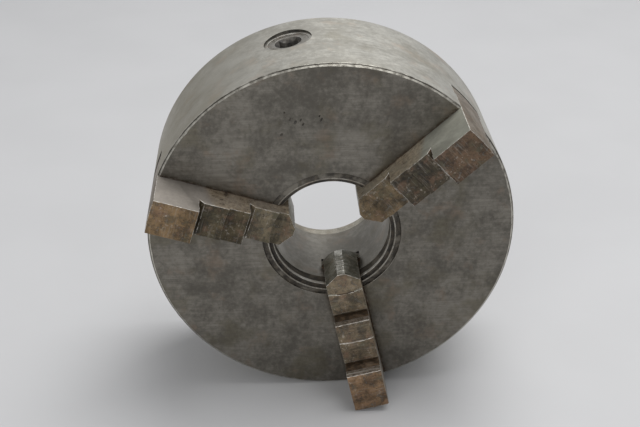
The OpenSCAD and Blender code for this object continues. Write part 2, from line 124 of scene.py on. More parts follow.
class Shader:
    """A material under construction, with one short method for each kind of node it uses."""

    def __init__(self, name: str) -> None:
        """Starts an empty tree.

        Args:
            name: The material's name.
        """
        self.material = bpy.data.materials.new(name)
        self.material.use_nodes = True
        self.tree = self.material.node_tree
        self.tree.nodes.clear()
        self.out = self.tree.nodes.new("ShaderNodeOutputMaterial")

    def node(self, kind: str, **settings: object) -> bpy.types.Node:
        """Adds a node and sets its properties.

        Args:
            kind: The node's type.
            **settings: Its properties and their values.

        Returns:
            The new node.
        """
        made = self.tree.nodes.new(kind)
        for key, value in settings.items():
            setattr(made, key, value)
        return made

    def feed(self, socket: Socket, value: object) -> None:
        """Links a socket to another, or sets its own value.

        Args:
            socket: The input to fill.
            value: An output socket, or a plain value.
        """
        if isinstance(value, Socket):
            self.tree.links.new(value, socket)
        else:
            socket.default_value = value

    def where(self, scale: Triple = (1, 1, 1), turn: float = 0,
              attribute: str | None = None, shift: Triple = (0, 0, 0)) -> Socket:
        """Coordinates in metres on the piece.

        Args:
            scale: Stretch along each axis.
            turn: Turn about the spin axis, in degrees.
            attribute: Name of a vector attribute to read, in place of object coordinates.
            shift: Move applied after the stretch.

        Returns:
            The vector socket.
        """
        if attribute:
            source = self.node("ShaderNodeAttribute", attribute_name=attribute).outputs["Vector"]
        else:
            source = self.node("ShaderNodeTexCoord").outputs["Object"]
        mapping = self.node("ShaderNodeMapping")
        mapping.inputs["Scale"].default_value = scale
        mapping.inputs["Rotation"].default_value = (0, math.radians(turn), 0)
        mapping.inputs["Location"].default_value = shift
        self.feed(mapping.inputs["Vector"], source)
        return mapping.outputs["Vector"]

    def noise(self, where: Socket, scale: float, detail: float = 3,
              rough: float = 0.55, distort: float = 0) -> Socket:
        """Fractal noise from 0 to 1, with scale in cells per metre.

        Args:
            where: Coordinates on the piece.
            scale: Cells per metre.
            detail: Number of finer layers.
            rough: How strong the finer layers are.
            distort: How far the pattern is bent.

        Returns:
            The noise.
        """
        made = self.node("ShaderNodeTexNoise")
        self.feed(made.inputs["Vector"], where)
        made.inputs["Scale"].default_value = scale
        made.inputs["Detail"].default_value = detail
        made.inputs["Roughness"].default_value = rough
        made.inputs["Distortion"].default_value = distort
        return made.outputs["Fac"]

    def cells(self, where: Socket, scale: float) -> Socket:
        """Distance to the nearest of scattered points, for pits and spots.

        Args:
            where: Coordinates on the piece.
            scale: Points per metre.

        Returns:
            The distance.
        """
        made = self.node("ShaderNodeTexVoronoi")
        self.feed(made.inputs["Vector"], where)
        made.inputs["Scale"].default_value = scale
        return made.outputs["Distance"]

    def band(self, value: Socket, low: float, high: float,
             start: float = 0, end: float = 1) -> Socket:
        """Maps low..high smoothly to start..end and holds it outside.

        Args:
            value: The number to map.
            low: Where the ramp begins.
            high: Where it ends.
            start: The result up to its beginning.
            end: The result past its end.

        Returns:
            The mapped number.
        """
        made = self.node("ShaderNodeMapRange", interpolation_type="SMOOTHSTEP")
        self.feed(made.inputs["Value"], value)
        for key, number in (("From Min", low), ("From Max", high), ("To Min", start), ("To Max", end)):
            made.inputs[key].default_value = number
        return made.outputs["Result"]

    def math(self, what: str, a: object, b: object = 0.0) -> Socket:
        """One arithmetic step, not clamped.

        Args:
            what: The operation.
            a: First number.
            b: Second number.

        Returns:
            The result.
        """
        made = self.node("ShaderNodeMath", operation=what)
        self.feed(made.inputs[0], a)
        self.feed(made.inputs[1], b)
        return made.outputs[0]

    def mix(self, share: object, a: object, b: object, how: str = "MIX") -> Socket:
        """Blends colour b over colour a by a share from 0 to 1.

        Args:
            share: How much of colour b shows.
            a: The colour below.
            b: The colour above.
            how: The way they blend.

        Returns:
            The blended colour.
        """
        made = self.node("ShaderNodeMix", data_type="RGBA", blend_type=how)
        self.feed(made.inputs["Factor"], share)
        self.feed(made.inputs[MIX_BELOW], a)
        self.feed(made.inputs[MIX_ABOVE], b)
        return made.outputs[MIX_RESULT]

    def parts(self, vector: Socket) -> tuple[Socket, ...]:
        """Splits a vector into its three numbers.

        Args:
            vector: The vector.

        Returns:
            The sockets of X, Y and Z.
        """
        made = self.node("ShaderNodeSeparateXYZ")
        self.feed(made.inputs[0], vector)
        return tuple(made.outputs)

    def radius(self, where: Socket) -> Socket:
        """Distance from the spin axis, in metres."""
        x, _, z = self.parts(where)
        return self.math("SQRT", self.math("ADD", self.math("MULTIPLY", x, x), self.math("MULTIPLY", z, z)))

    def from_ways(self) -> Socket:
        """Distance in metres from the centre line of the nearest jaw way.

        Returns:
            The distance.
        """
        nearest = None
        for k in range(1, JAW_COUNT + 1):
            along, _, across = self.parts(self.where(turn=jaw_angle(k)))
            away = self.math("ADD", self.math("ABSOLUTE", across), self.math("LESS_THAN", along, 0.0))
            nearest = away if nearest is None else self.math("MINIMUM", nearest, away)
        return nearest

    def rings(self) -> Socket:
        """Fine rings round a piece's own axis, which its place attribute measures along X.

        Returns:
            The rings, from 0 to 1.
        """
        _, across, up = self.parts(self.where(attribute=PLACE))
        away = self.math("SQRT", self.math("ADD", self.math("MULTIPLY", across, across),
                                           self.math("MULTIPLY", up, up)))
        ring = self.node("ShaderNodeCombineXYZ")
        self.feed(ring.inputs[0], away)
        return self.noise(ring.outputs[0], POLISHING, 4, 0.7)

    def shade(self, colour: object, amount: Socket) -> Socket:
        """Darkens or lightens a colour by a factor."""
        return self.mix(1.0, colour, amount, "MULTIPLY")

    def value(self, attribute: str) -> Socket:
        """A number painted on the mesh."""
        return self.node("ShaderNodeAttribute", attribute_name=attribute).outputs["Fac"]

    def bump(self, height: Socket, depth: float, strength: float = 1,
             over: Socket | None = None) -> Socket:
        """Turns a height from 0 to 1 into a normal, with depth in metres.

        Args:
            height: The height.
            depth: Depth of the relief, in metres.
            strength: How much of it counts.
            over: A normal that it is laid on.

        Returns:
            The new normal.
        """
        made = self.node("ShaderNodeBump")
        made.inputs["Strength"].default_value = strength
        made.inputs["Distance"].default_value = depth
        self.feed(made.inputs["Height"], height)
        if over is not None:
            self.feed(made.inputs["Normal"], over)
        return made.outputs["Normal"]

    def surface(self, colour: object, rough: object, metallic: object,
                normal: Socket | None = None) -> bpy.types.Material:
        """Ends the tree in a metal or a matt surface.

        Args:
            colour: Base colour.
            rough: Roughness.
            metallic: How metallic it is, from 0 to 1.
            normal: The bumped normal, if there is one.

        Returns:
            The finished material.
        """
        made = self.node("ShaderNodeBsdfPrincipled")
        self.feed(made.inputs["Base Color"], colour)
        self.feed(made.inputs["Roughness"], rough)
        self.feed(made.inputs["Metallic"], metallic)
        if normal is not None:
            self.feed(made.inputs["Normal"], normal)
        self.feed(self.out.inputs["Surface"], made.outputs[0])
        return self.material


def rgb(r: float, g: float, b: float) -> Colour:
    """An opaque linear colour."""
    return (r, g, b, 1)


# ------------------------------------------------------------------- finishes


class Grain(Enum):
    """Which way the tool marks of a finish run."""

    TURNED = "rings round the spin axis"
    GROUND = "straight fine lines across the piece"
    ALONG = "round the rim"
    COAXIAL = "rings round the piece's own axis"


@dataclass(frozen=True)
class Steel:
    """Bare workshop steel, darkened by oil in soft clouds and marked by its last machining.

    Attributes:
        name: The material's name.
        dark: Colour of the oiliest patches.
        light: Colour of the cleanest metal.
        stain: Colour of the thin brown or olive tints.
        stain_share: How much of the surface the tints take.
        rough: Lowest and highest roughness.
        grain: Direction of the tool marks.
        grain_depth: Depth of the tool marks, in metres.
        cloud: Clouds per metre.
        metallic: How metallic the surface is.
        left_painted_shade: How far painted shade darkens and browns the side towards -X.
        way_grime: How dark the dirt is that clings beside the jaw ways.
        crest: Colour of edges that are rubbed bright; where it is set near white, on the nose, it is partly
            a painted highlight.
        speck: Colour of the small pits.
        way_dirt: Colour of the dirt beside the jaw ways.
        way_dirt_span: Distances from a way's centre line between which that dirt fades out.
        left_shade_span: Places along X, in metres, between which the painted shade of the left side fades
            out.
    """

    name: str
    dark: Colour
    light: Colour
    stain: Colour = rgb(0.12, 0.10, 0.06)
    stain_share: float = 0.35
    rough: tuple[float, float] = (0.36, 0.56)
    grain: Grain = Grain.GROUND
    grain_depth: float = 0.00002
    cloud: float = 22
    metallic: float = 0.9
    left_painted_shade: float = 0
    way_grime: float = 0
    crest: Colour = rgb(0.58, 0.56, 0.52)
    speck: Colour = rgb(0.02, 0.017, 0.013)
    way_dirt: Colour = rgb(0.05, 0.037, 0.024)
    way_dirt_span: tuple[float, float] = (12.8, 16.5)
    left_shade_span: tuple[float, float] = (-0.115, -0.02)

    def marks(self, s: Shader) -> Socket:
        """Fine tool marks, from 0 to 1, running as the grain says.

        Args:
            s: The material under construction.

        Returns:
            The marks.
        """
        if self.grain is Grain.TURNED:
            ring = s.node("ShaderNodeCombineXYZ")
            spot = s.where()
            s.feed(ring.inputs[0], s.radius(spot))
            s.feed(ring.inputs[1], s.math("MULTIPLY", s.parts(spot)[1], 0.2))
            return s.noise(ring.outputs[0], TURNING, 4, 0.7)
        if self.grain is Grain.ALONG:
            return s.noise(s.where((0.04, 1, 0.04)), POLISHING, 4, 0.7)
        if self.grain is Grain.COAXIAL:
            return s.rings()
        return s.noise(s.where((0.05, 1, 1), turn=5), GRINDING, 4, 0.7)

    def soil_and_shade(self, s: Shader, colour: Socket, fine: Socket) -> Socket:
        """Lays the painted shade of the left side, and the dirt beside the ways, over the metal.

        Args:
            s: The shader.
            colour: The metal's colour.
            fine: Fine noise that breaks up the dirt and the painted shade.

        Returns:
            The soiled and shaded colour.
        """
        if self.left_painted_shade:
            # Painted shade: the side towards -X is darkened towards the stain colour.
            side = s.band(s.parts(s.where())[0], *self.left_shade_span, self.left_painted_shade, 0)
            colour = s.mix(s.math("MULTIPLY", side, s.band(fine, 0.3, 0.7, 0.6, 1)), colour, self.stain)
        if self.way_grime:
            close, away = self.way_dirt_span
            near = s.band(s.from_ways(), close * MM, away * MM, self.way_grime, 0)
            near = s.math("MULTIPLY", near, s.band(fine, 0.36, 0.6, 0.15, 1))
            colour = s.mix(near, colour, self.way_dirt)
        return colour

    def material(self) -> bpy.types.Material:
        """Builds the finish.

        Returns:
            The finished material.
        """
        s = Shader(self.name)
        spot = s.where()
        cloud = s.noise(spot, self.cloud, 5, 0.6, 0.4)
        patch = s.noise(s.where(shift=(3, 1, 2)), self.cloud * 3.1, 4, 0.6)
        mottle = s.noise(s.where(shift=(2, 6, 5)), self.cloud * 13, 4, 0.65)
        marks = self.marks(s)
        clean = s.math("ADD", s.math("MULTIPLY", cloud, 0.4), s.math("MULTIPLY", patch, 0.28))
        clean = s.math("ADD", clean, s.math("MULTIPLY", mottle, 0.32))
        colour = s.mix(s.band(clean, 0.40, 0.61), self.dark, self.light)
        tint = s.noise(s.where(shift=(7, 4, 1)), self.cloud * 1.9, 4, 0.55)
        tint = s.band(tint, 0.5, 0.68, 0, self.stain_share)
        colour = s.mix(tint, colour, self.stain)
        rosy = s.noise(s.where(shift=(1, 9, 6)), self.cloud * 2.3, 4, 0.6)
        rosy = s.band(rosy, 0.54, 0.7, 0, self.stain_share)
        colour = s.mix(rosy, colour, s.shade(self.light, rgb(0.95, 0.78, 0.68)))
        colour = s.mix(s.band(marks, 0.36, 0.64, 0.0, 0.42), colour, self.dark)
        speck = s.band(s.cells(spot, 620), 0.06, 0.16, 0.65, 0)
        speck = s.math("MULTIPLY", speck, s.band(patch, 0.44, 0.58))
        colour = s.mix(speck, colour, self.speck)
        colour = self.soil_and_shade(s, colour, mottle)
        worn = s.math("MULTIPLY", s.value(WORN), s.band(s.noise(spot, 260, 3, 0.6), 0.4, 0.6, 0.1, 0.8))
        colour = s.mix(worn, colour, self.crest)
        rough = s.band(s.math("ADD", s.math("MULTIPLY", cloud, 0.5), s.math("MULTIPLY", marks, 0.5)),
                       0.35, 0.65, self.rough[1], self.rough[0])
        normal = s.bump(marks, self.grain_depth)
        normal = s.bump(mottle, 0.00006, 0.5, normal)
        normal = s.bump(s.band(s.cells(spot, 420), 0.0, 0.12), 0.00004, 0.6, normal)
        return s.surface(colour, rough, self.metallic, normal)


FACE = Steel(name="face_steel", dark=rgb(0.108, 0.100, 0.086), light=rgb(0.235, 0.219, 0.190),
             stain=rgb(0.110, 0.096, 0.060), stain_share=0.5, way_grime=0.85)
# The rim carries painted shade on its side towards -X.
RIM = Steel(name="rim_steel", dark=rgb(0.40, 0.385, 0.34), light=rgb(0.64, 0.625, 0.565),
            stain=rgb(0.25, 0.22, 0.155), stain_share=0.4, rough=(0.36, 0.55), grain=Grain.ALONG,
            left_painted_shade=0.85)
BORE = Steel(name="bore_steel", dark=rgb(0.24, 0.225, 0.195), light=rgb(0.38, 0.36, 0.32),
             stain=rgb(0.18, 0.15, 0.10), stain_share=0.4, rough=(0.34, 0.50), grain=Grain.ALONG)
# The bore's ground lip is polished by bars, and its lighter colour is also a painted highlight along the
# bore's edge.
LIP_POLISH_AND_HIGHLIGHT = Steel(name="bore_lip_polish_and_highlight", dark=rgb(0.30, 0.28, 0.24), light=rgb(0.60, 0.58, 0.53),
            stain=rgb(0.25, 0.20, 0.13), stain_share=0.3, rough=(0.30, 0.45), grain=Grain.ALONG,
            cloud=60)
# The ridge's top and the groove's outer edge are turned steel painted lighter than the face: a painted
# highlight along these edges.
RIDGE_HIGHLIGHT = Steel(name="ridge_highlight_steel", dark=rgb(0.17, 0.155, 0.13), light=rgb(0.42, 0.40, 0.36),
              stain=rgb(0.12, 0.09, 0.055), stain_share=0.5, rough=(0.32, 0.5), grain=Grain.TURNED,
              cloud=60)
BACK = Steel(name="back_steel", dark=rgb(0.14, 0.13, 0.112), light=rgb(0.28, 0.265, 0.235),
             stain=rgb(0.16, 0.11, 0.06), stain_share=0.5, rough=(0.36, 0.55), grain=Grain.TURNED,
             grain_depth=0.00004)
HARD = Steel(name="hardened_steel", dark=rgb(0.24, 0.225, 0.195), light=rgb(0.47, 0.45, 0.41),
             stain=rgb(0.14, 0.11, 0.07), stain_share=0.4, rough=(0.28, 0.45), grain=Grain.COAXIAL,
             grain_depth=0.00005, cloud=60)
BUSH = Steel(name="bush_steel", dark=rgb(0.33, 0.315, 0.28), light=rgb(0.54, 0.52, 0.47),
             stain=rgb(0.16, 0.13, 0.08), stain_share=0.45, rough=(0.30, 0.46), grain=Grain.COAXIAL,
             grain_depth=0.00005, cloud=60)
SCROLL = Steel(name="scroll_steel", dark=rgb(0.16, 0.145, 0.12), light=rgb(0.40, 0.38, 0.34),
               stain=rgb(0.10, 0.07, 0.04), stain_share=0.6, rough=(0.28, 0.5), grain=Grain.TURNED,
               grain_depth=0.00004, cloud=50)
RING = Steel(name="ring_steel", dark=rgb(0.22, 0.205, 0.175), light=rgb(0.44, 0.42, 0.37),
             stain=rgb(0.12, 0.085, 0.045), stain_share=0.5, rough=(0.3, 0.5), grain=Grain.TURNED,
             grain_depth=0.00004, cloud=60)
COVER = Steel(name="cover_steel", dark=rgb(0.12, 0.11, 0.092), light=rgb(0.25, 0.235, 0.205),
              stain=rgb(0.14, 0.095, 0.05), stain_share=0.5, rough=(0.34, 0.52), grain=Grain.TURNED,
              grain_depth=0.00005, cloud=28)
PIN = Steel(name="dowel_steel", dark=rgb(0.30, 0.285, 0.25), light=rgb(0.52, 0.50, 0.46),
            stain=rgb(0.16, 0.11, 0.06), stain_share=0.4, rough=(0.3, 0.45), grain=Grain.TURNED,
            cloud=120)
BLACK = Steel(name="black_oxide", dark=rgb(0.018, 0.018, 0.018), light=rgb(0.055, 0.053, 0.049),
              stain=rgb(0.09, 0.06, 0.03), stain_share=0.3, rough=(0.35, 0.55), grain=Grain.TURNED,
              cloud=150)
JAW_END = Steel(name="jaw_end_steel", dark=rgb(0.13, 0.105, 0.078), light=rgb(0.31, 0.27, 0.22),
                stain=rgb(0.17, 0.11, 0.06), stain_share=0.5, rough=(0.42, 0.6), grain=Grain.ALONG,
                cloud=60, metallic=0.6)
# The flat on the nose is painted near white: ground steel with a painted highlight, and its worn edges as
# well.
CREST_HIGHLIGHT = Steel(name="nose_crest_highlight", dark=rgb(0.26, 0.245, 0.20), light=rgb(0.92, 0.90, 0.82),
              stain=rgb(0.14, 0.11, 0.06), stain_share=0.2, rough=(0.22, 0.4), grain=Grain.ALONG,
              cloud=120, crest=rgb(0.95, 0.93, 0.86))
# The nose's worn edges are painted near white: rubbed wear with a painted highlight.
NOSE = Steel(name="jaw_nose_steel", dark=rgb(0.15, 0.145, 0.112), light=rgb(0.46, 0.44, 0.37),
             stain=rgb(0.11, 0.085, 0.045), stain_share=0.5, rough=(0.34, 0.5), grain=Grain.ALONG,
             cloud=90, metallic=0.8, crest=rgb(0.95, 0.93, 0.86))


@dataclass(frozen=True)
class GreaseAndShade:
    """Dark lumpy fill: old grease and swarf dust in the ways and sockets, painted shade in the bore's
    counterbore, its relief and the jaws' undercuts, and the dark colour of the face's groove.

    Attributes:
        name: The material's name.
        dark: Darkest colour: thick grease, and in the recesses the deepest painted shade.
        light: Lighter colour: dust on the grease, and in the recesses lighter painted shade.
        bare: Colour of the metal that shows through.
        bare_share: How much of the metal shows.
    """

    name: str
    dark: Colour = rgb(0.012, 0.011, 0.009)
    light: Colour = rgb(0.075, 0.065, 0.05)
    bare: Colour = rgb(0.10, 0.092, 0.08)
    bare_share: float = 0.6

    def material(self) -> bpy.types.Material:
        """Builds the finish.

        Returns:
            The finished material.
        """
        s = Shader(self.name)
        spot = s.where()
        lumps = s.noise(spot, 330, 5, 0.65)
        smear = s.noise(s.where(shift=(1, 5, 2)), 90, 4, 0.6)
        colour = s.mix(s.band(lumps, 0.4, 0.68), self.dark, self.light)
        colour = s.mix(s.band(smear, 0.48, 0.66, 0, self.bare_share), colour, self.bare)
        rough = s.band(lumps, 0.3, 0.7, 0.5, 0.8)
        return s.surface(colour, rough, 0.25, s.bump(lumps, 0.0003))


WAY_GREASE = GreaseAndShade("way_grease")
# Painted shade on the ledge of the bore's counterbore, with grime.
MOUTH_SHADE_AND_GRIME = GreaseAndShade(name="mouth_shade_and_grime", dark=rgb(0.014, 0.012, 0.009), light=rgb(0.06, 0.048, 0.034),
                     bare=rgb(0.13, 0.11, 0.085), bare_share=0.5)
# Painted shade in the relief inside the bore's mouth, with grime.
RELIEF_SHADE_AND_GRIME = GreaseAndShade(name="relief_shade_and_grime", dark=rgb(0.03, 0.024, 0.016), light=rgb(0.085, 0.07, 0.05),
                      bare=rgb(0.15, 0.13, 0.10), bare_share=0.6)
# Dark colour on the groove round the bore's ridge and on its sloping land.
GROOVE_DARK = GreaseAndShade(name="groove_dark", dark=rgb(0.022, 0.018, 0.013),
                      light=rgb(0.085, 0.072, 0.054), bare=rgb(0.16, 0.145, 0.12), bare_share=0.8)
WAY_EDGE = GreaseAndShade(name="way_edge_grime", dark=rgb(0.05, 0.03, 0.018), light=rgb(0.18, 0.105, 0.062),
                  bare=rgb(0.40, 0.34, 0.28), bare_share=0.7)
# Painted shade in the jaws' undercuts and inner corners.
CORNER_SHADE = GreaseAndShade(name="corner_shade", dark=rgb(0.034, 0.022, 0.012),
                      light=rgb(0.115, 0.073, 0.04), bare=rgb(0.18, 0.13, 0.085), bare_share=0.6)
SOCKET_GRIME = GreaseAndShade(name="socket_grime", dark=rgb(0.014, 0.012, 0.010),
                      light=rgb(0.06, 0.052, 0.042), bare=rgb(0.22, 0.205, 0.18), bare_share=0.5)


@dataclass(frozen=True)
class WornBevel:
    """The bevel of the rim: rubbed metal with a broken line of dirt along its middle.

    Attributes:
        name: The material's name.
        dirt_from: Inner radius of the line of dirt, in millimetres.
        dirt_to: Its outer radius.
        fade: Half the width over which each edge of the line fades.
        dull: Colour of the least rubbed metal.
        bright: Colour of the most rubbed metal.
        dirt: Colour of the line.
    """

    name: str
    dirt_from: float = 124.12
    dirt_to: float = 124.72
    fade: float = 0.1
    dull: Colour = rgb(0.30, 0.28, 0.24)
    bright: Colour = rgb(0.54, 0.52, 0.46)
    dirt: Colour = rgb(0.045, 0.04, 0.033)

    def material(self) -> bpy.types.Material:
        """Builds the finish.

        Returns:
            The finished material.
        """
        s = Shader(self.name)
        spot = s.where()
        gaps = s.noise(spot, 34, 4, 0.6)
        fine = s.noise(s.where(shift=(4, 2, 1)), 240, 3, 0.6)
        bright = s.mix(s.band(fine, 0.35, 0.65), self.dull, self.bright)
        away = s.radius(spot)
        start = s.band(away, (self.dirt_from - self.fade) * MM, (self.dirt_from + self.fade) * MM)
        stop = s.band(away, (self.dirt_to - self.fade) * MM, (self.dirt_to + self.fade) * MM, 1, 0)
        dirt = s.math("MULTIPLY", start, stop)
        dirt = s.math("MULTIPLY", dirt, s.band(gaps, 0.34, 0.48, 0.45, 0.92))
        colour = s.mix(dirt, bright, self.dirt)
        rough = s.band(fine, 0.3, 0.7, 0.25, 0.45)
        return s.surface(colour, rough, 0.9, s.bump(fine, 0.00006))


@dataclass(frozen=True)
class JawFront:
    """Rust and old oil on the stepped front of a jaw, over grey hardened steel.

    Attributes:
        name: The material's name.
        seed: Moves the pattern, so that no two jaws match.
        step_1: Colour of the first step.
        step_2: Colour of the second step.
        block: Colour of the outer block.
        step_edge: Radii between which the first step's colour passes into the second's.
        block_edge: Radii between which the second step's colour passes into the block's.
        rust: Colour of the red rust.
        oil: Colour of the dried oil.
        grey: Colour of the thin places in the rust.
        pit: Colour of the pits.
        bare: Colour of the small bare spots.
        streak: Colour of the scratches.
        rubbed: Colour of the rubbed edges.
    """

    name: str
    seed: float
    step_1: Colour
    step_2: Colour
    block: Colour
    step_edge: tuple[float, float] = (59.5, 61.0)
    block_edge: tuple[float, float] = (93.5, 95.0)
    rust: Colour = rgb(0.20, 0.115, 0.072)
    oil: Colour = rgb(0.088, 0.082, 0.048)
    grey: Colour = rgb(0.17, 0.16, 0.14)
    pit: Colour = rgb(0.018, 0.013, 0.009)
    bare: Colour = rgb(0.36, 0.32, 0.27)
    streak: Colour = rgb(0.27, 0.245, 0.205)
    rubbed: Colour = rgb(0.60, 0.57, 0.52)

    def tone(self, s: Shader) -> Socket:
        """Mean colour of each step, by its distance from the axis.

        Args:
            s: The material under construction.

        Returns:
            The colour.
        """
        radial = s.parts(s.where(attribute=PLACE))[0]
        tone = s.mix(s.band(radial, *(r * MM for r in self.step_edge)), self.step_1, self.step_2)
        return s.mix(s.band(radial, *(r * MM for r in self.block_edge)), tone, self.block)

    def material(self) -> bpy.types.Material:
        """Builds the finish.

        Returns:
            The finished material.
        """
        s = Shader(self.name)
        spot = s.where(attribute=PLACE, shift=(self.seed, self.seed * 0.7, 0))
        patch = s.noise(s.where(attribute=PLACE, shift=(2 + self.seed, 1, 4)), 75, 4, 0.6, 0.5)
        blotch = s.noise(spot, 210, 5, 0.65, 0.6)
        grit = s.noise(s.where(attribute=PLACE, shift=(5, self.seed, 1)), 620, 4, 0.7)
        tints = s.noise(s.where(attribute=PLACE, shift=(1, 8, self.seed)), 130, 4, 0.6)
        streak = s.noise(s.where((1, 0.07, 1), attribute=PLACE), 900, 3, 0.6)
        mass = s.math("ADD", s.math("MULTIPLY", patch, 0.36), s.math("MULTIPLY", blotch, 0.36))
        mass = s.math("ADD", mass, s.math("MULTIPLY", grit, 0.28))
        colour = s.shade(self.tone(s), s.band(mass, 0.39, 0.61, 0.38, 1.85))
        colour = s.mix(s.band(tints, 0.53, 0.66, 0, 0.4), colour, self.rust)
        colour = s.mix(s.band(tints, 0.34, 0.46, 0.45, 0), colour, self.oil)
        colour = s.mix(s.band(blotch, 0.33, 0.42, 0.45, 0), colour, self.grey)
        colour = s.mix(s.band(grit, 0.57, 0.69, 0, 0.75), colour, self.pit)
        bare = s.band(s.noise(spot, 480, 3, 0.6), 0.58, 0.70, 0, 0.7)
        bare = s.math("MULTIPLY", bare, s.band(patch, 0.4, 0.6))
        colour = s.mix(bare, colour, self.bare)
        colour = s.mix(s.band(streak, 0.54, 0.72, 0, 0.35), colour, self.streak)
        worn = s.band(s.noise(spot, 300, 4, 0.65), 0.42, 0.58, 0.05, 0.95)
        worn = s.math("MULTIPLY", s.value(WORN), worn)
        colour = s.mix(worn, colour, self.rubbed)
        rough = s.mix(worn, s.band(grit, 0.3, 0.7, 0.5, 0.78), rgb(0.33, 0.33, 0.33))
        metallic = s.band(worn, 0, 1, 0.3, 0.9)
        normal = s.bump(grit, 0.00018, 0.8)
        normal = s.bump(blotch, 0.0004, 0.5, normal)
        return s.surface(colour, rough, metallic, normal)


@dataclass(frozen=True)
class JawSide:
    """Ground flank of a jaw: even grey towards the rim, stained brown towards the nose.

    Attributes:
        name: The material's name.
        seed: Moves the pattern.
        clean: Colour of the even part.
        clean_from: Radius in metres past which the flank stays clean.
        bow: How far the stain's edge leans outwards for each metre below the bow's height.
        bow_height: Height in metres at which the stain's edge is at that radius.
        dark_brown: Darkest colour of the stain.
        light_brown: Lightest colour of the stain.
        spot: Colour of the rust spots.
        line: Colour of the grinding lines.
        rubbed: Colour of the rubbed edges.
    """

    name: str
    seed: float
    clean: Colour
    clean_from: float = 0.087
    bow: float = 0.35
    bow_height: float = 0.104
    dark_brown: Colour = rgb(0.17, 0.125, 0.075)
    light_brown: Colour = rgb(0.36, 0.29, 0.20)
    spot: Colour = rgb(0.06, 0.042, 0.026)
    line: Colour = rgb(0.15, 0.135, 0.11)
    rubbed: Colour = rgb(0.60, 0.58, 0.54)

    def material(self) -> bpy.types.Material:
        """Builds the finish.

        Returns:
            The finished material.
        """
        s = Shader(self.name)
        radial, _, height = s.parts(s.where(attribute=PLACE))
        spot = s.where(attribute=PLACE, shift=(self.seed, 0, self.seed))
        lines = s.noise(s.where((0.05, 1, 1), attribute=PLACE, shift=(self.seed, 0, 0)), 1500, 4, 0.7)
        cloud = s.noise(spot, 60, 4, 0.6)
        fine = s.noise(spot, 420, 4, 0.65)
        clean = s.shade(self.clean, s.band(s.math("ADD", s.math("MULTIPLY", cloud, 0.6),
                                                  s.math("MULTIPLY", fine, 0.4)), 0.38, 0.62, 0.85, 1.12))
        brown = s.mix(s.band(fine, 0.35, 0.65), self.dark_brown, self.light_brown)
        # The stain reaches farther out near the foot of the flank than at its top.
        bow = s.math("MULTIPLY", s.math("SUBTRACT", height, self.bow_height), self.bow)
        edge = s.math("ADD", s.math("ADD", radial, bow), s.math("MULTIPLY", cloud, 0.006))
        stained = s.band(edge, self.clean_from - 0.001, self.clean_from + 0.006, 1, 0)
        amount = s.math("MULTIPLY", stained, s.band(cloud, 0.25, 0.7, 0.45, 0.95))
        colour = s.mix(amount, clean, brown)
        spots = s.math("MULTIPLY", s.band(s.noise(spot, 210, 4, 0.7), 0.54, 0.66, 0, 0.9),
                       s.math("ADD", stained, 0.12))
        colour = s.mix(spots, colour, self.spot)
        colour = s.mix(s.band(lines, 0.35, 0.7, 0, 0.3), colour, self.line)
        worn = s.math("MULTIPLY", s.value(WORN), s.band(s.noise(spot, 330, 3, 0.6), 0.4, 0.56, 0.1, 0.9))
        colour = s.mix(worn, colour, self.rubbed)
        rough = s.band(lines, 0.3, 0.7, 0.68, 0.54)
        return s.surface(colour, rough, 0.55, s.bump(lines, 0.00003))


@dataclass(frozen=True)
class GripLand:
    """Ground gripping land, crossed by a few painted highlight lines where the edges of fine steps catch
    the light, and by painted shade lines in their grooves.

    Attributes:
        name: The material's name.
        seed: Moves the pattern.
        dark: Darkest colour of the land.
        light: Lightest colour of the land.
        highlight_line: Colour of the painted highlight lines.
        groove_shade_line: Colour of the painted shade lines in the grooves.
        rubbed: Colour of the rubbed edges.
    """

    name: str
    seed: float
    dark: Colour = rgb(0.15, 0.12, 0.09)
    light: Colour = rgb(0.36, 0.31, 0.26)
    highlight_line: Colour = rgb(0.68, 0.65, 0.60)
    groove_shade_line: Colour = rgb(0.05, 0.036, 0.024)
    rubbed: Colour = rgb(0.60, 0.57, 0.52)

    def material(self) -> bpy.types.Material:
        """Builds the finish.

        Returns:
            The finished material.
        """
        s = Shader(self.name)
        fine = s.noise(s.where(attribute=PLACE, shift=(self.seed, 2, 0)), 380, 4, 0.65)
        lines = s.noise(s.where((0.2, 0.05, 1), attribute=PLACE, shift=(0, 0, self.seed)), 620, 3, 0.6)
        colour = s.mix(s.band(fine, 0.36, 0.62), self.dark, self.light)
        # Painted highlight lines across the land, then painted shade lines for its grooves.
        colour = s.mix(s.band(lines, 0.55, 0.66, 0, 0.85), colour, self.highlight_line)
        colour = s.mix(s.band(lines, 0.33, 0.43, 0.7, 0), colour, self.groove_shade_line)
        colour = s.mix(s.value(WORN), colour, self.rubbed)
        rough = s.band(lines, 0.3, 0.7, 0.5, 0.32)
        return s.surface(colour, rough, 0.75, s.bump(lines, 0.00006))


# --------------------------------------------------------------- mesh building


def spin_matrix(degrees: float) -> Matrix:
    """Turn about the spin axis that carries +X towards +Z."""
    return Matrix.Rotation(-math.radians(degrees), 4, "Y")


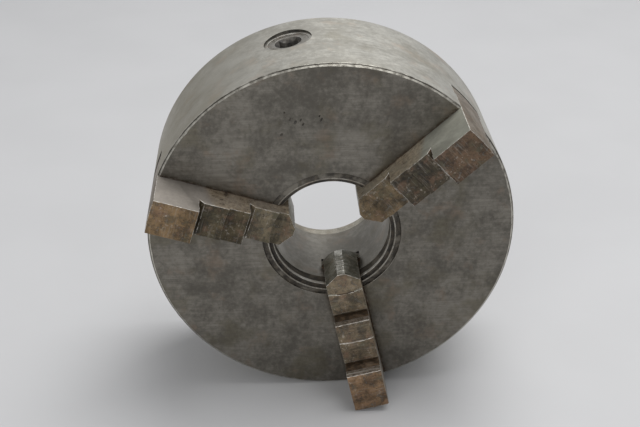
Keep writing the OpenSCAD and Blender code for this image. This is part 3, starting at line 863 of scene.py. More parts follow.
def lathe(outline: Outline, segments: int, wobble: Wobble | None = None) -> bmesh.types.BMesh:
    """Turns a closed outline round the spin axis.

    Args:
        outline: Corners as (radius, height) in millimetres.
        segments: Number of steps round the axis.
        wobble: Gives a change of (radius, height) for a corner's number and angle.

    Returns:
        A closed mesh with its faces outwards.
    """
    bm = bmesh.new()
    rings = []
    for i in range(segments):
        a = 2 * math.pi * i / segments
        ring = []
        for n, (r, h) in enumerate(outline):
            dr, dh = wobble(n, a) if wobble else (0, 0)
            corner = ((r + dr) * MM * math.cos(a), -(h + dh) * MM, (r + dr) * MM * math.sin(a))
            ring.append(bm.verts.new(corner))
        rings.append(ring)
    for i in range(segments):
        here, ahead = rings[i], rings[(i + 1) % segments]
        for n in range(len(outline)):
            m = (n + 1) % len(outline)
            bm.faces.new((here[n], here[m], ahead[m], ahead[n]))
    bmesh.ops.recalc_face_normals(bm, faces=bm.faces)
    return bm


def disc_rod(outline: Outline, segments: int, matrix: Matrix) -> bmesh.types.BMesh:
    """Turns an open outline that starts and ends on its own axis into a solid, and places it.

    Args:
        outline: Corners as (distance along the axis, radius) in millimetres, first and last with no radius.
        segments: Number of steps round the axis.
        matrix: Carries the rod's own +Z axis, in metres, into the part.

    Returns:
        A closed mesh with its faces outwards.
    """
    bm = bmesh.new()
    first = bm.verts.new((0, 0, outline[0][0] * MM))
    last = bm.verts.new((0, 0, outline[-1][0] * MM))
    rings = []
    for along, r in outline[1:-1]:
        rings.append([
            bm.verts.new((r * MM * math.cos(2 * math.pi * i / segments),
                          r * MM * math.sin(2 * math.pi * i / segments), along * MM))
            for i in range(segments)
        ])
    for i in range(segments):
        j = (i + 1) % segments
        bm.faces.new((first, rings[0][j], rings[0][i]))
        bm.faces.new((last, rings[-1][i], rings[-1][j]))
        for low, high in zip(rings, rings[1:]):
            bm.faces.new((low[i], low[j], high[j], high[i]))
    bmesh.ops.recalc_face_normals(bm, faces=bm.faces)
    bm.transform(matrix)
    return bm


def prism(outline: Outline, depth: float, matrix: Matrix) -> bmesh.types.BMesh:
    """Extrudes a closed outline in its own XY plane along +Z, and places it.

    Args:
        outline: Corners in millimetres.
        depth: Length in millimetres.
        matrix: Carries the prism into the part.

    Returns:
        A closed mesh with its faces outwards.
    """
    bm = bmesh.new()
    low = [bm.verts.new((x * MM, y * MM, 0)) for x, y in outline]
    high = [bm.verts.new((x * MM, y * MM, depth * MM)) for x, y in outline]
    bm.faces.new(low[::-1])
    bm.faces.new(high)
    for i in range(len(outline)):
        j = (i + 1) % len(outline)
        bm.faces.new((low[i], low[j], high[j], high[i]))
    bmesh.ops.recalc_face_normals(bm, faces=bm.faces)
    bm.transform(matrix)
    return bm


def radial_matrix(degrees: float, height: float) -> Matrix:
    """Carries an axis from +Z to the outward radius at an angle, at a height above the back face."""
    return (spin_matrix(degrees) @ Matrix.Translation((0, -height * MM, 0))
            @ Matrix.Rotation(math.radians(90), 4, "Y"))


def axial_matrix(degrees: float, radius: float, height: float = 0) -> Matrix:
    """Carries an axis from +Z to the chuck's forward direction, at a radius and a starting height."""
    return (spin_matrix(degrees) @ Matrix.Translation((radius * MM, -height * MM, 0))
            @ Matrix.Rotation(math.radians(90), 4, "X"))


def outward_matrix(degrees: float, start: float = 0) -> Matrix:
    """Sweeps a section given as (across, height) outwards along the radius at an angle, from a radius."""
    return spin_matrix(degrees) @ SWEPT_OUTWARDS @ Matrix.Translation((0, 0, start * MM))


def hole_outline(start: float, end: float, radius: float) -> Outline:
    """Outline of a cutter for a plain round hole, along its axis."""
    return [(start, 0), (start, radius), (end, radius), (end, 0)]


def as_object(bm: bmesh.types.BMesh, name: str) -> bpy.types.Object:
    """Writes a mesh to a new object in the scene.

    Args:
        bm: The mesh, which is freed.
        name: The object's name.

    Returns:
        The object.
    """
    mesh = bpy.data.meshes.new(name)
    bm.to_mesh(mesh)
    bm.free()
    made = bpy.data.objects.new(name, mesh)
    bpy.context.scene.collection.objects.link(made)
    return made


def carve(piece: bpy.types.Object, cutters: Iterable[bmesh.types.BMesh]) -> None:
    """Cuts every cutter out of a piece, exactly, and leaves a plain mesh.

    Args:
        piece: The piece.
        cutters: Closed meshes, which are freed.
    """
    union = bmesh.new()
    for cutter in cutters:
        scratch = bpy.data.meshes.new("cutter")
        cutter.to_mesh(scratch)
        cutter.free()
        union.from_mesh(scratch)
        bpy.data.meshes.remove(scratch)
    tool = as_object(union, "cutter")
    cut = piece.modifiers.new("cut", "BOOLEAN")
    cut.operation = "DIFFERENCE"
    cut.solver = "EXACT"
    cut.use_self = True
    cut.object = tool
    settle(piece)
    bpy.data.objects.remove(tool)


def settle(piece: bpy.types.Object) -> None:
    """Turns what a piece's modifiers make into its plain mesh.

    Args:
        piece: The piece.
    """
    graph = bpy.context.evaluated_depsgraph_get()
    made = bpy.data.meshes.new_from_object(piece.evaluated_get(graph))
    old = piece.data
    piece.modifiers.clear()
    piece.data = made
    made.name = piece.name
    bpy.data.meshes.remove(old)


def solid_copy(node: str, name: str, bevel: float) -> bpy.types.Object:
    """Copies a frame node as one closed mesh with its edges eased.

    Args:
        node: The frame node.
        name: The new piece's name.
        bevel: Width of the eased edges in millimetres.

    Returns:
        The new piece, with the eased faces painted in the "worn" attribute.
    """
    bm = bmesh.new()
    bm.from_mesh(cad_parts[node].data)
    bmesh.ops.remove_doubles(bm, verts=bm.verts, dist=COPY_MERGE)
    bmesh.ops.dissolve_limit(bm, angle_limit=math.radians(0.6), verts=bm.verts, edges=bm.edges)
    bm.normal_update()
    edges = [e for e in bm.edges if e.is_convex and e.calc_face_angle(0) > math.radians(EASE_ANGLE)]
    eased = bmesh.ops.bevel(bm, geom=edges, offset=bevel * MM, offset_type="OFFSET", segments=EASE_STEPS,
                            profile=0.5, affect="EDGES", clamp_overlap=False)["faces"]
    bm.faces.index_update()
    worn = {face.index for face in eased if face.is_valid}
    made = as_object(bm, name)
    paint_worn(made, worn)
    return made


def paint_worn(piece: bpy.types.Object, faces: set[int]) -> None:
    """Paints 1 on the corners of the given faces and 0 elsewhere.

    Args:
        piece: The piece.
        faces: Numbers of the worn faces.
    """
    values = np.zeros(len(piece.data.loops), np.float32)
    for face in faces:
        polygon = piece.data.polygons[face]
        values[polygon.loop_start:polygon.loop_start + polygon.loop_total] = 1
    layer = piece.data.attributes.get(WORN) or piece.data.attributes.new(WORN, "FLOAT", "CORNER")
    layer.data.foreach_set("value", values)


def dress(piece: bpy.types.Object, finishes: Sequence[bpy.types.Material],
          pick: Callable[[Vector, Vector], int], sharp: float = SHARP_ANGLE) -> None:
    """Gives each face its finish and shades the rounds smooth.

    Args:
        piece: The piece to dress.
        finishes: Its materials, in slot order.
        pick: Gives a slot's number from a face's centre in millimetres and its normal.
        sharp: Least angle in degrees of an edge that stays sharp.
    """
    mesh = piece.data
    mesh.materials.clear()
    for finish in finishes:
        mesh.materials.append(finish)
    for face in mesh.polygons:
        face.material_index = pick(face.center / MM, face.normal)
        face.use_smooth = True
    mesh.set_sharp_from_angle(angle=math.radians(sharp))


def note_place(piece: bpy.types.Object, matrix: Matrix) -> None:
    """Keeps every point's own place, in metres, in an attribute that materials can read.

    Args:
        piece: The piece.
        matrix: Carries a point of the part to the piece's own place.
    """
    turn = np.array(matrix)
    points = np.array([v.co for v in piece.data.vertices]).reshape(-1, 3)
    layer = piece.data.attributes.new(PLACE, "FLOAT_VECTOR", "POINT")
    layer.data.foreach_set("vector", (points @ turn[:3, :3].T + turn[:3, 3]).astype(np.float32).ravel())


def hand_over(piece: bpy.types.Object, body: str, slot: str, *nodes: str) -> None:
    """Rides a finished piece on its body in place of its frame nodes, and reports it.

    Args:
        piece: The finished piece.
        body: The body that it rides on.
        slot: Its material slot; not used.
        *nodes: The frame nodes that it replaces.
    """
    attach(piece, body)
    if nodes:
        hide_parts(*nodes)
    LOG.info("%s rides on %s: %d faces", piece.name, body, len(piece.data.polygons))


# ------------------------------------------------------------- geometry nodes


class Recipe:
    """A geometry node tree under construction, whose named inputs are the sizes of what it makes."""

    def __init__(self, name: str) -> None:
        """Starts an empty tree that takes in a mesh and gives out a mesh.

        Args:
            name: The tree's name.
        """
        self.tree = bpy.data.node_groups.new(name, "GeometryNodeTree")
        self.tree.interface.new_socket("Geometry", in_out="INPUT", socket_type="NodeSocketGeometry")
        self.tree.interface.new_socket("Geometry", in_out="OUTPUT", socket_type="NodeSocketGeometry")
        self.given = self.tree.nodes.new("NodeGroupInput")
        self.sizes: dict[str, float] = {}

    def size(self, name: str, value: float) -> Socket:
        """Adds a named number to the tree's inputs, with the value that the modifier will be given.

        Args:
            name: The input's name.
            value: Its value.

        Returns:
            The input's socket in the tree.
        """
        made = self.tree.interface.new_socket(name, in_out="INPUT", socket_type="NodeSocketFloat")
        self.sizes[made.identifier] = value
        return self.given.outputs[name]

    def node(self, kind: str, inputs: dict[str | int, object] | None = None,
             **settings: object) -> bpy.types.Node:
        """Adds a node, sets its properties, and feeds its inputs by name or number.

        Args:
            kind: The node's type.
            inputs: Sockets or plain values for its inputs.
            **settings: Its properties and their values.

        Returns:
            The new node.
        """
        made = self.tree.nodes.new(kind)
        for key, value in settings.items():
            setattr(made, key, value)
        for key, value in (inputs or {}).items():
            if isinstance(value, Socket):
                self.tree.links.new(value, made.inputs[key])
            else:
                made.inputs[key].default_value = value
        return made

    def math(self, what: str, a: object, b: object = 0.0) -> Socket:
        """One arithmetic step."""
        return self.node("ShaderNodeMath", {0: a, 1: b}, operation=what).outputs[0]

    def vector(self, x: object = 0.0, y: object = 0.0, z: object = 0.0) -> Socket:
        """A vector from three numbers."""
        return self.node("ShaderNodeCombineXYZ", {0: x, 1: y, 2: z}).outputs[0]

    def around(self, thing: Socket, count: Socket,
               first: Socket) -> Socket:
        """Repeats a mesh evenly round the spin axis.

        Args:
            thing: The mesh, at its place for angle 0.
            count: How many there are.
            first: Angle of the first, in radians.

        Returns:
            The instances.
        """
        points = self.node("GeometryNodePoints", {"Count": count}).outputs[0]
        step = self.math("DIVIDE", 2 * math.pi, count)
        index = self.node("GeometryNodeInputIndex").outputs[0]
        angle = self.math("MULTIPLY", self.math("ADD", first, self.math("MULTIPLY", index, step)), -1.0)
        turn = self.node("FunctionNodeEulerToRotation", {0: self.vector(0.0, angle, 0.0)}).outputs[0]
        given = {"Points": points, "Instance": thing, "Rotation": turn}
        return self.node("GeometryNodeInstanceOnPoints", given).outputs[0]

    def hoop(self, inner: Socket, outer: Socket, low: Socket,
             high: Socket, path: Socket) -> Socket:
        """Sweeps a rectangle along a flat path round the spin axis.

        Args:
            inner: Inner edge of the rectangle, measured from the path.
            outer: Its outer edge.
            low: Its lower edge, as a height.
            high: Its upper edge.
            path: The curve, in the XY plane.

        Returns:
            The closed mesh, turned so that heights point forwards.
        """
        corners = self.node("GeometryNodeCurvePrimitiveQuadrilateral", mode="POINTS")
        for key, (x, y) in enumerate(((outer, low), (outer, high), (inner, high), (inner, low))):
            # A profile's own Y axis points backwards once the path's normals lie flat.
            corner = self.vector(x, self.math("MULTIPLY", y, -1.0))
            self.tree.links.new(corner, corners.inputs[f"Point {key + 1}"])
        upright = self.node("GeometryNodeSetCurveNormal", {"Curve": path}, mode="Z_UP").outputs[0]
        swept = self.node("GeometryNodeCurveToMesh", {"Curve": upright, "Profile Curve": corners.outputs[0],
                                                      "Fill Caps": True}).outputs[0]
        return self.node("GeometryNodeTransform", {"Geometry": swept,
                                                   "Rotation": (math.radians(90), 0, 0)}).outputs[0]

    def apply(self, piece: bpy.types.Object, shape: Socket, finish: bpy.types.Material) -> None:
        """Ends the tree, runs it on a piece with its sizes set, and leaves a plain mesh.

        Args:
            piece: The object whose mesh the tree takes in.
            shape: What the tree makes.
            finish: Its material.
        """
        real = self.node("GeometryNodeRealizeInstances", {"Geometry": shape}).outputs[0]
        made = self.node("GeometryNodeSetMaterial", {"Geometry": real, "Material": finish}).outputs[0]
        out = self.tree.nodes.new("NodeGroupOutput")
        self.tree.links.new(made, out.inputs[0])
        modifier = piece.modifiers.new("recipe", "NODES")
        modifier.node_group = self.tree
        for identifier, value in self.sizes.items():
            modifier[identifier] = float(value)
        settle(piece)
        bm = bmesh.new()
        bm.from_mesh(piece.data)
        bmesh.ops.remove_doubles(bm, verts=bm.verts, dist=RECIPE_MERGE)
        bmesh.ops.recalc_face_normals(bm, faces=bm.faces)
        bm.to_mesh(piece.data)
        bm.free()
        piece.data.shade_smooth()
        piece.data.set_sharp_from_angle(angle=math.radians(SHARP_ANGLE))


# --------------------------------------------------------------------- pieces


class Zone(IntEnum):
    """Slots of the body's finishes."""

    FACE = 0
    RIM = 1
    BEVEL = 2
    BORE = 3
    LIP_POLISH_AND_HIGHLIGHT = 4
    RIDGE_HIGHLIGHT = 5
    MOUTH = 6
    RELIEF = 7
    GROOVE = 8
    WAY_EDGE = 9
    GREASE = 10
    BACK = 11


@dataclass
class Body:
    """The turned body with its three jaw ways, pinion holes, bore and spindle register.

    Attributes:
        outside: Radius of the rim.
        thickness: Height of the face.
        bore: Radius of the bore.
        hub: Radius of the hub inside the scroll chamber.
        chamber: Outer radius of the scroll chamber.
        chamber_top: Height of the chamber's ceiling.
        register: Radius of the spindle register.
        register_depth: Depth of the register.
        cover_top: Height of the seat under the rear cover.
        cover_seat: Radius of that seat.
        rim_bevel: Width of the rim's front bevel.
        rear_bevel: Width of the rim's rear bevel.
        mouth: Radius of the counterbore at the mouth of the bore.
        mouth_depth: Depth of that counterbore.
        lip: Length of the ground lip below it.
        relief: Length of the relieved part of the bore.
        ridge: Width of the ridge round the counterbore.
        groove: Outer radius of the groove round the ridge.
        groove_depth: Depth of the groove.
        way_half: Half width of a jaw way at its mouth.
        way_wing: Half width of the way's undercut.
        way_lip: Height of the top of the undercut.
        way_floor: Height of the way's floor.
        way_bevel: Width of the bevel along the way's mouth.
        pinion_height: Height of the pinions' axes.
        bush_hole: Radius of the hole for a pinion's bush.
        spigot_hole: Radius of the hole for a pinion's spigot.
        bush_floor: Distance from the spin axis to the floor of the bush's hole.
        spigot_floor: Distance from the spin axis to the floor of the spigot's hole.
        spigot_end: Distance from the spin axis to the open end of the spigot's hole.
        mount_radius: Radius of the circle of mounting holes.
        mount_thread: Radius of a mounting hole.
        mount_depth: Depth of a mounting hole.
        mount_pitch: Pitch of its thread.
        lock_radius: Radius of the circle of holes for the dog screws.
        lock_hole: Radius of such a hole.
        lock_depth: Depth of such a hole.
        dent_count: Number of dents along the rim's front bevel.
        segments: Number of steps round the body.
    """

    outside: float = 125.0
    thickness: float = 87.5
    bore: float = 40.4
    hub: float = 54.0
    chamber: float = 97.5
    chamber_top: float = 60.0
    register: float = 103.0
    register_depth: float = 5.0
    cover_top: float = 16.0
    cover_seat: float = 102.0
    rim_bevel: float = 1.8
    rear_bevel: float = 1.2
    mouth: float = 43.1
    mouth_depth: float = 2.0
    lip: float = 2.5
    relief: float = 7.0
    ridge: float = 0.9
    groove: float = 47.6
    groove_depth: float = 1.2
    way_half: float = 12.25
    way_wing: float = 13.95
    way_lip: float = 66.0
    way_floor: float = 52.0
    way_bevel: float = 0.6
    pinion_height: float = 34.03
    bush_hole: float = 16.55
    spigot_hole: float = 6.05
    bush_floor: float = 93.0
    spigot_floor: float = 46.0
    spigot_end: float = 56.0
    mount_radius: float = 113.0
    mount_thread: float = 6.0
    mount_depth: float = 24.0
    mount_pitch: float = 1.75
    lock_radius: float = 111.5
    lock_hole: float = 5.0
    lock_depth: float = 16.5
    dent_count: int = 26
    segments: int = 720

    def outline(self) -> Outline:
        """Half section as (radius, height), with its small edges eased.

        Returns:
            The closed outline.
        """
        top = self.thickness
        ledge = top - self.mouth_depth
        slope = self.mouth + self.ridge
        return [
            (self.register, 0.5), (self.register + 0.5, 0),
            (self.outside - self.rear_bevel, 0), (self.outside, self.rear_bevel),
            (self.outside, top - self.rim_bevel), (self.outside - 0.85, top - self.rim_bevel + 0.85),
            (self.outside - self.rim_bevel, top),
            (self.groove + 0.2, top), (self.groove, top - 0.2), (self.groove, top - self.groove_depth),
            (self.groove - 0.4, top - self.groove_depth), (slope, top - 0.03), (slope - 0.1, top),
            (self.mouth + 0.2, top), (self.mouth, top - 0.2), (self.mouth, ledge + 0.2),
            (self.mouth - 0.2, ledge), (self.bore + 0.3, ledge), (self.bore, ledge - 0.3),
            (self.bore, ledge - self.lip), (self.bore + 0.4, ledge - self.lip - 0.2),
            (self.bore + 0.4, ledge - self.lip - self.relief + 0.2),
            (self.bore, ledge - self.lip - self.relief), (self.bore, self.cover_top),
            (self.hub, self.cover_top), (self.hub, self.chamber_top), (self.chamber, self.chamber_top),
            (self.chamber, self.cover_top), (self.cover_seat, self.cover_top),
            (self.cover_seat, self.register_depth), (self.register, self.register_depth),
        ]

    def nicks(self) -> Wobble:
        """Small dents along the rim's front bevel, the same at every run.

        Returns:
            The function that moves the outline's corners.
        """
        random = np.random.default_rng(11)
        steps = self.segments
        rough = random.normal(0, 1, steps)
        soft = np.convolve(np.tile(rough, 3), np.hanning(9) / 4, "same")[steps:2 * steps]
        dents = np.zeros(steps)
        for spot in random.integers(0, steps, self.dent_count):
            width = int(random.integers(1, 5))
            for k in range(-width, width + 1):
                dents[(spot + k) % steps] += 0.45 * (1 - abs(k) / (width + 1))
        outer, middle, inner = 4, 5, 6

        def wobble(n: int, a: float) -> tuple[float, float]:
            """Change of (radius, height) of one corner.

            Args:
                n: The corner's number in the outline.
                a: Its angle, in radians.

            Returns:
                The change, in millimetres.
            """
            i = round(a / (2 * math.pi) * steps) % steps
            if n == outer:
                return (0, -max(0.0, 0.10 * soft[i]) - 0.5 * dents[i])
            if n == middle:
                return (-0.25 * dents[i], -0.25 * dents[i])
            if n == inner:
                return (-0.08 * abs(soft[i]) - 0.6 * dents[i], 0)
            return (0, 0)

        return wobble

    def way_outline(self) -> Outline:
        """Section of a jaw way, as (across, height), open past the face.

        Returns:
            The closed outline.
        """
        top, past = self.thickness, 3.0
        half, wing = self.way_half, self.way_wing
        flare = half + self.way_bevel + past
        return [
            (-wing, self.way_floor), (wing, self.way_floor), (wing, self.way_lip), (half, self.way_lip),
            (half, top - self.way_bevel), (flare, top + past), (-flare, top + past),
            (-half, top - self.way_bevel), (-half, self.way_lip), (-wing, self.way_lip),
        ]

    def tapped_hole(self) -> Outline:
        """Outline of a cutter for a mounting hole with its thread and countersink, along its axis.

        Returns:
            The outline as (distance along the axis, radius).
        """
        radius, depth, pitch = self.mount_thread, self.mount_depth, self.mount_pitch
        outline = [(-1.0, 0.0), (-1.0, radius + 0.9), (0.9, radius)]
        turns = int((depth - 2) / pitch)
        for i in range(turns):
            start = 0.9 + i * pitch
            outline += [(start + 0.5 * pitch, radius - 0.8), (start + pitch, radius)]
        return outline + [(depth, radius - 0.8), (depth + 2.5, 0.0)]

    def face_pits(self) -> list[bmesh.types.BMesh]:
        """Shallow knocks in the face, at their places as (across, up, length, width).

        Returns:
            The cutters.
        """
        spots = ((-24, 85, 3.0, 1.7), (-27.5, 87, 2.6, 1.4), (-19, 83.5, 2.6, 1.5), (-20.5, 86.5, 2.4, 1.3),
                 (-7.2, 86.5, 3.2, 1.4), (-8.4, 89, 1.8, 1.0), (-33, 76.5, 2.4, 1.5), (-31, 92, 1.6, 1.0))
        sink, depth, slant = 0.15, 1.3, math.radians(28)
        cutters = []
        for x, z, length, width in spots:
            bm = bmesh.new()
            bmesh.ops.create_icosphere(bm, subdivisions=3, radius=0.5 * MM)
            bm.transform(Matrix.Translation((x * MM, -(self.thickness + sink) * MM, z * MM))
                         @ Matrix.Rotation(slant, 4, "Y") @ Matrix.Diagonal((width, depth, length, 1)))
            cutters.append(bm)
        return cutters

    def cutters(self) -> list[bmesh.types.BMesh]:
        """Everything that is cut from the turned body.

        Returns:
            The cutters.
        """
        cuts = self.face_pits()
        past = self.outside + 5
        sink = 0.6
        for k in range(1, JAW_COUNT + 1):
            cuts.append(prism(self.way_outline(), past, outward_matrix(jaw_angle(k))))
            mount = axial_matrix(jaw_angle(k), self.mount_radius)
            cuts.append(disc_rod(self.tapped_hole(), COUNTERBORE_STEPS, mount))
            radial = radial_matrix(pinion_angle(k), self.pinion_height)
            bush = hole_outline(self.bush_floor, past, self.bush_hole)
            cuts.append(disc_rod(bush, BUSH_STEPS, radial))
            spigot = hole_outline(self.spigot_floor, self.spigot_end, self.spigot_hole)
            cuts.append(disc_rod(spigot, PIN_STEPS, radial))
            lock = [(-1, 0), (-1, self.lock_hole + sink), (sink, self.lock_hole),
                    (self.lock_depth, self.lock_hole), (self.lock_depth, 0)]
            cuts.append(disc_rod(lock, LOCK_STEPS, axial_matrix(pinion_angle(k), self.lock_radius)))
        return cuts

    def way_mouth(self, centre: Vector, normal: Vector) -> bool:
        """Whether a face is part of the bevel along the mouth of a way.

        Args:
            centre: The face's centre, in millimetres.
            normal: Its outward normal.

        Returns:
            True on that bevel.
        """
        if -centre.y < self.thickness - self.way_bevel - 0.05 or abs(normal.y) > 0.95:
            return False
        for k in range(1, JAW_COUNT + 1):
            turn = spin_matrix(-jaw_angle(k))
            place = turn @ centre
            if place.x > 0 and abs(abs(place.z) - self.way_half) < self.way_bevel + 0.3:
                return abs((turn @ normal).z) > 0.5
        return False

    def zone(self, centre: Vector, normal: Vector) -> int:
        """Slot of a face.

        Args:
            centre: The face's centre, in millimetres.
            normal: Its outward normal.

        Returns:
            The slot's number.
        """
        r = math.hypot(centre.x, centre.z)
        h = -centre.y
        top = self.thickness
        ledge = top - self.mouth_depth
        lip_end = ledge - self.lip
        if r > self.outside - 0.3 and self.rear_bevel <= h <= top - self.rim_bevel - 0.1:
            return Zone.RIM
        if self.way_mouth(centre, normal):
            return Zone.WAY_EDGE
        if h > top - 2.5 and r > self.outside - 2.6 and abs(normal.y) < FLAT:
            return Zone.BEVEL
        if normal.y < -FLAT and h > top - 0.1:
            return Zone.FACE if r > self.groove else Zone.RIDGE_HIGHLIGHT
        if self.mouth - 0.1 < r < self.groove + 0.3 and h > top - self.groove_depth - 0.2:
            edge = r < self.mouth + self.ridge or r > self.groove + 0.05
            return Zone.RIDGE_HIGHLIGHT if edge and abs(normal.y) > 0.3 else Zone.GROOVE
        if r < self.mouth + 0.3 and h > ledge - 0.05 and r > self.bore + 0.3:
            return Zone.MOUTH
        if r < self.bore + 0.3 and h > lip_end - 0.05:
            return Zone.LIP_POLISH_AND_HIGHLIGHT
        if r < self.bore + 0.6 and lip_end - self.relief - 0.1 < h:
            return Zone.RELIEF if r < self.mouth else Zone.GREASE
        if r < self.bore + 0.3 and h > self.cover_top:
            return Zone.BORE
        if h < 1.4 and r > self.register - 0.1:
            return Zone.BACK
        return Zone.GREASE

    def build(self) -> None:
        """Turns, cuts and dresses the body."""
        piece = as_object(lathe(self.outline(), self.segments, self.nicks()), "turned_body")
        carve(piece, self.cutters())
        finishes = {
            Zone.FACE: FACE, Zone.RIM: RIM, Zone.BEVEL: WornBevel("rim_bevel"), Zone.BORE: BORE,
            Zone.LIP_POLISH_AND_HIGHLIGHT: LIP_POLISH_AND_HIGHLIGHT, Zone.RIDGE_HIGHLIGHT: RIDGE_HIGHLIGHT, Zone.MOUTH: MOUTH_SHADE_AND_GRIME, Zone.RELIEF: RELIEF_SHADE_AND_GRIME,
            Zone.GROOVE: GROOVE_DARK, Zone.WAY_EDGE: WAY_EDGE, Zone.GREASE: WAY_GREASE, Zone.BACK: BACK,
        }
        dress(piece, [finishes[zone].material() for zone in Zone], self.zone)
        hand_over(piece, "body", "body_steel", "chuck_body")


class CoverZone(IntEnum):
    """Slots of the cover's finishes."""

    TURNED = 0
    BORE = 1
    HOLES = 2


@dataclass
class Cover:
    """The rear cover: a turned plate with a thrust sleeve, counterbored for its screws.

    Attributes:
        bore: Radius of the bore.
        outside: Radius of the plate.
        back: Height of the plate's back.
        front: Height of the plate's front.
        sleeve_bore: Inner radius of the thrust sleeve.
        sleeve: Outer radius of the thrust sleeve.
        sleeve_top: Height of the sleeve's end.
        ease: Width of the eased edges.
        screw_circle: Radius of the circle of screws and dowels.
        screw_hole: Radius of a screw hole.
        head_hole: Radius of the counterbore for a screw's head.
        head_depth: Depth of that counterbore.
        dowel_hole: Radius of a dowel hole.
        dowel_lead: Angle from a screw to the next dowel, in degrees.
        notch_half: Half width of a notch for a pinion's spigot.
        notch_from: Height of the notch's floor.
        notch_top: Height that the notch's cutter reaches.
        notch_start: Radius at which the notch's cutter starts.
        notch_length: Length of the notch's cutter.
        segments: Number of steps round the cover.
    """

    bore: float = 42.4
    outside: float = 102.0
    back: float = 5.0
    front: float = 16.0
    sleeve_bore: float = 54.1
    sleeve: float = 62.1
    sleeve_top: float = 42.4
    ease: float = 0.4
    screw_circle: float = 48.5
    screw_hole: float = 3.3
    head_hole: float = 5.3
    head_depth: float = 6.3
    dowel_hole: float = 2.5
    dowel_lead: float = 30.0
    notch_half: float = 7.0
    notch_from: float = 27.03
    notch_top: float = 60.0
    notch_start: float = 50.0
    notch_length: float = 20.0
    segments: int = 240

    def outline(self) -> Outline:
        """Half section as (radius, height).

        Returns:
            The closed outline.
        """
        e = self.ease
        return [
            (self.bore, self.back + e), (self.bore + e, self.back), (self.outside - e, self.back),
            (self.outside, self.back + e), (self.outside, self.front), (self.sleeve, self.front),
            (self.sleeve, self.sleeve_top - e), (self.sleeve - e, self.sleeve_top),
            (self.sleeve_bore + e, self.sleeve_top), (self.sleeve_bore, self.sleeve_top - e),
            (self.sleeve_bore, self.front), (self.bore, self.front),
        ]

    def cutters(self) -> list[bmesh.types.BMesh]:
        """Counterbores, dowel holes and the notches for the pinions' spigots.

        Returns:
            The cutters.
        """
        cuts = []
        for k in range(1, JAW_COUNT + 1):
            screw = [(-1, 0), (-1, self.head_hole + 0.6), (0.4, self.head_hole),
                     (self.head_depth, self.head_hole), (self.head_depth, self.screw_hole),
                     (self.front + 1, self.screw_hole), (self.front + 1, 0)]
            place = axial_matrix(jaw_angle(k), self.screw_circle, self.back)
            cuts.append(disc_rod(screw, COUNTERBORE_STEPS, place))
            notch = [(-self.notch_half, self.notch_from), (self.notch_half, self.notch_from),
                     (self.notch_half, self.notch_top), (-self.notch_half, self.notch_top)]
            out = outward_matrix(pinion_angle(k), self.notch_start)
            cuts.append(prism(notch, self.notch_length, out))
        for angle in (self.dowel_lead, self.dowel_lead + 180):
            hole = hole_outline(-1, self.front + 4, self.dowel_hole)
            place = axial_matrix(FIRST_JAW + angle, self.screw_circle, self.back)
            cuts.append(disc_rod(hole, PIN_STEPS, place))
        return cuts

    def zone(self, centre: Vector, normal: Vector) -> int:
        """Slot of a face.

        Args:
            centre: The face's centre, in millimetres.
            normal: Its outward normal.

        Returns:
            The slot's number.
        """
        r = math.hypot(centre.x, centre.z)
        if r < self.bore + self.ease:
            return CoverZone.BORE
        turned = abs(normal.y) > 0.5 or r > self.outside - 1 or abs(r - self.sleeve) < 0.3
        return CoverZone.TURNED if turned else CoverZone.HOLES

    def build(self) -> None:
        """Turns, cuts and dresses the cover."""
        piece = as_object(lathe(self.outline(), self.segments), "rear_cover")
        carve(piece, self.cutters())
        bright = Steel(name="cover_bore_steel", dark=rgb(0.36, 0.33, 0.27),
                       light=rgb(0.66, 0.62, 0.53), rough=(0.3, 0.45), grain=Grain.ALONG, cloud=60)
        finishes = {CoverZone.TURNED: COVER, CoverZone.BORE: bright, CoverZone.HOLES: WAY_GREASE}
        dress(piece, [finishes[zone].material() for zone in CoverZone], self.zone)
        hand_over(piece, "body", "cover_steel", "back_cover")


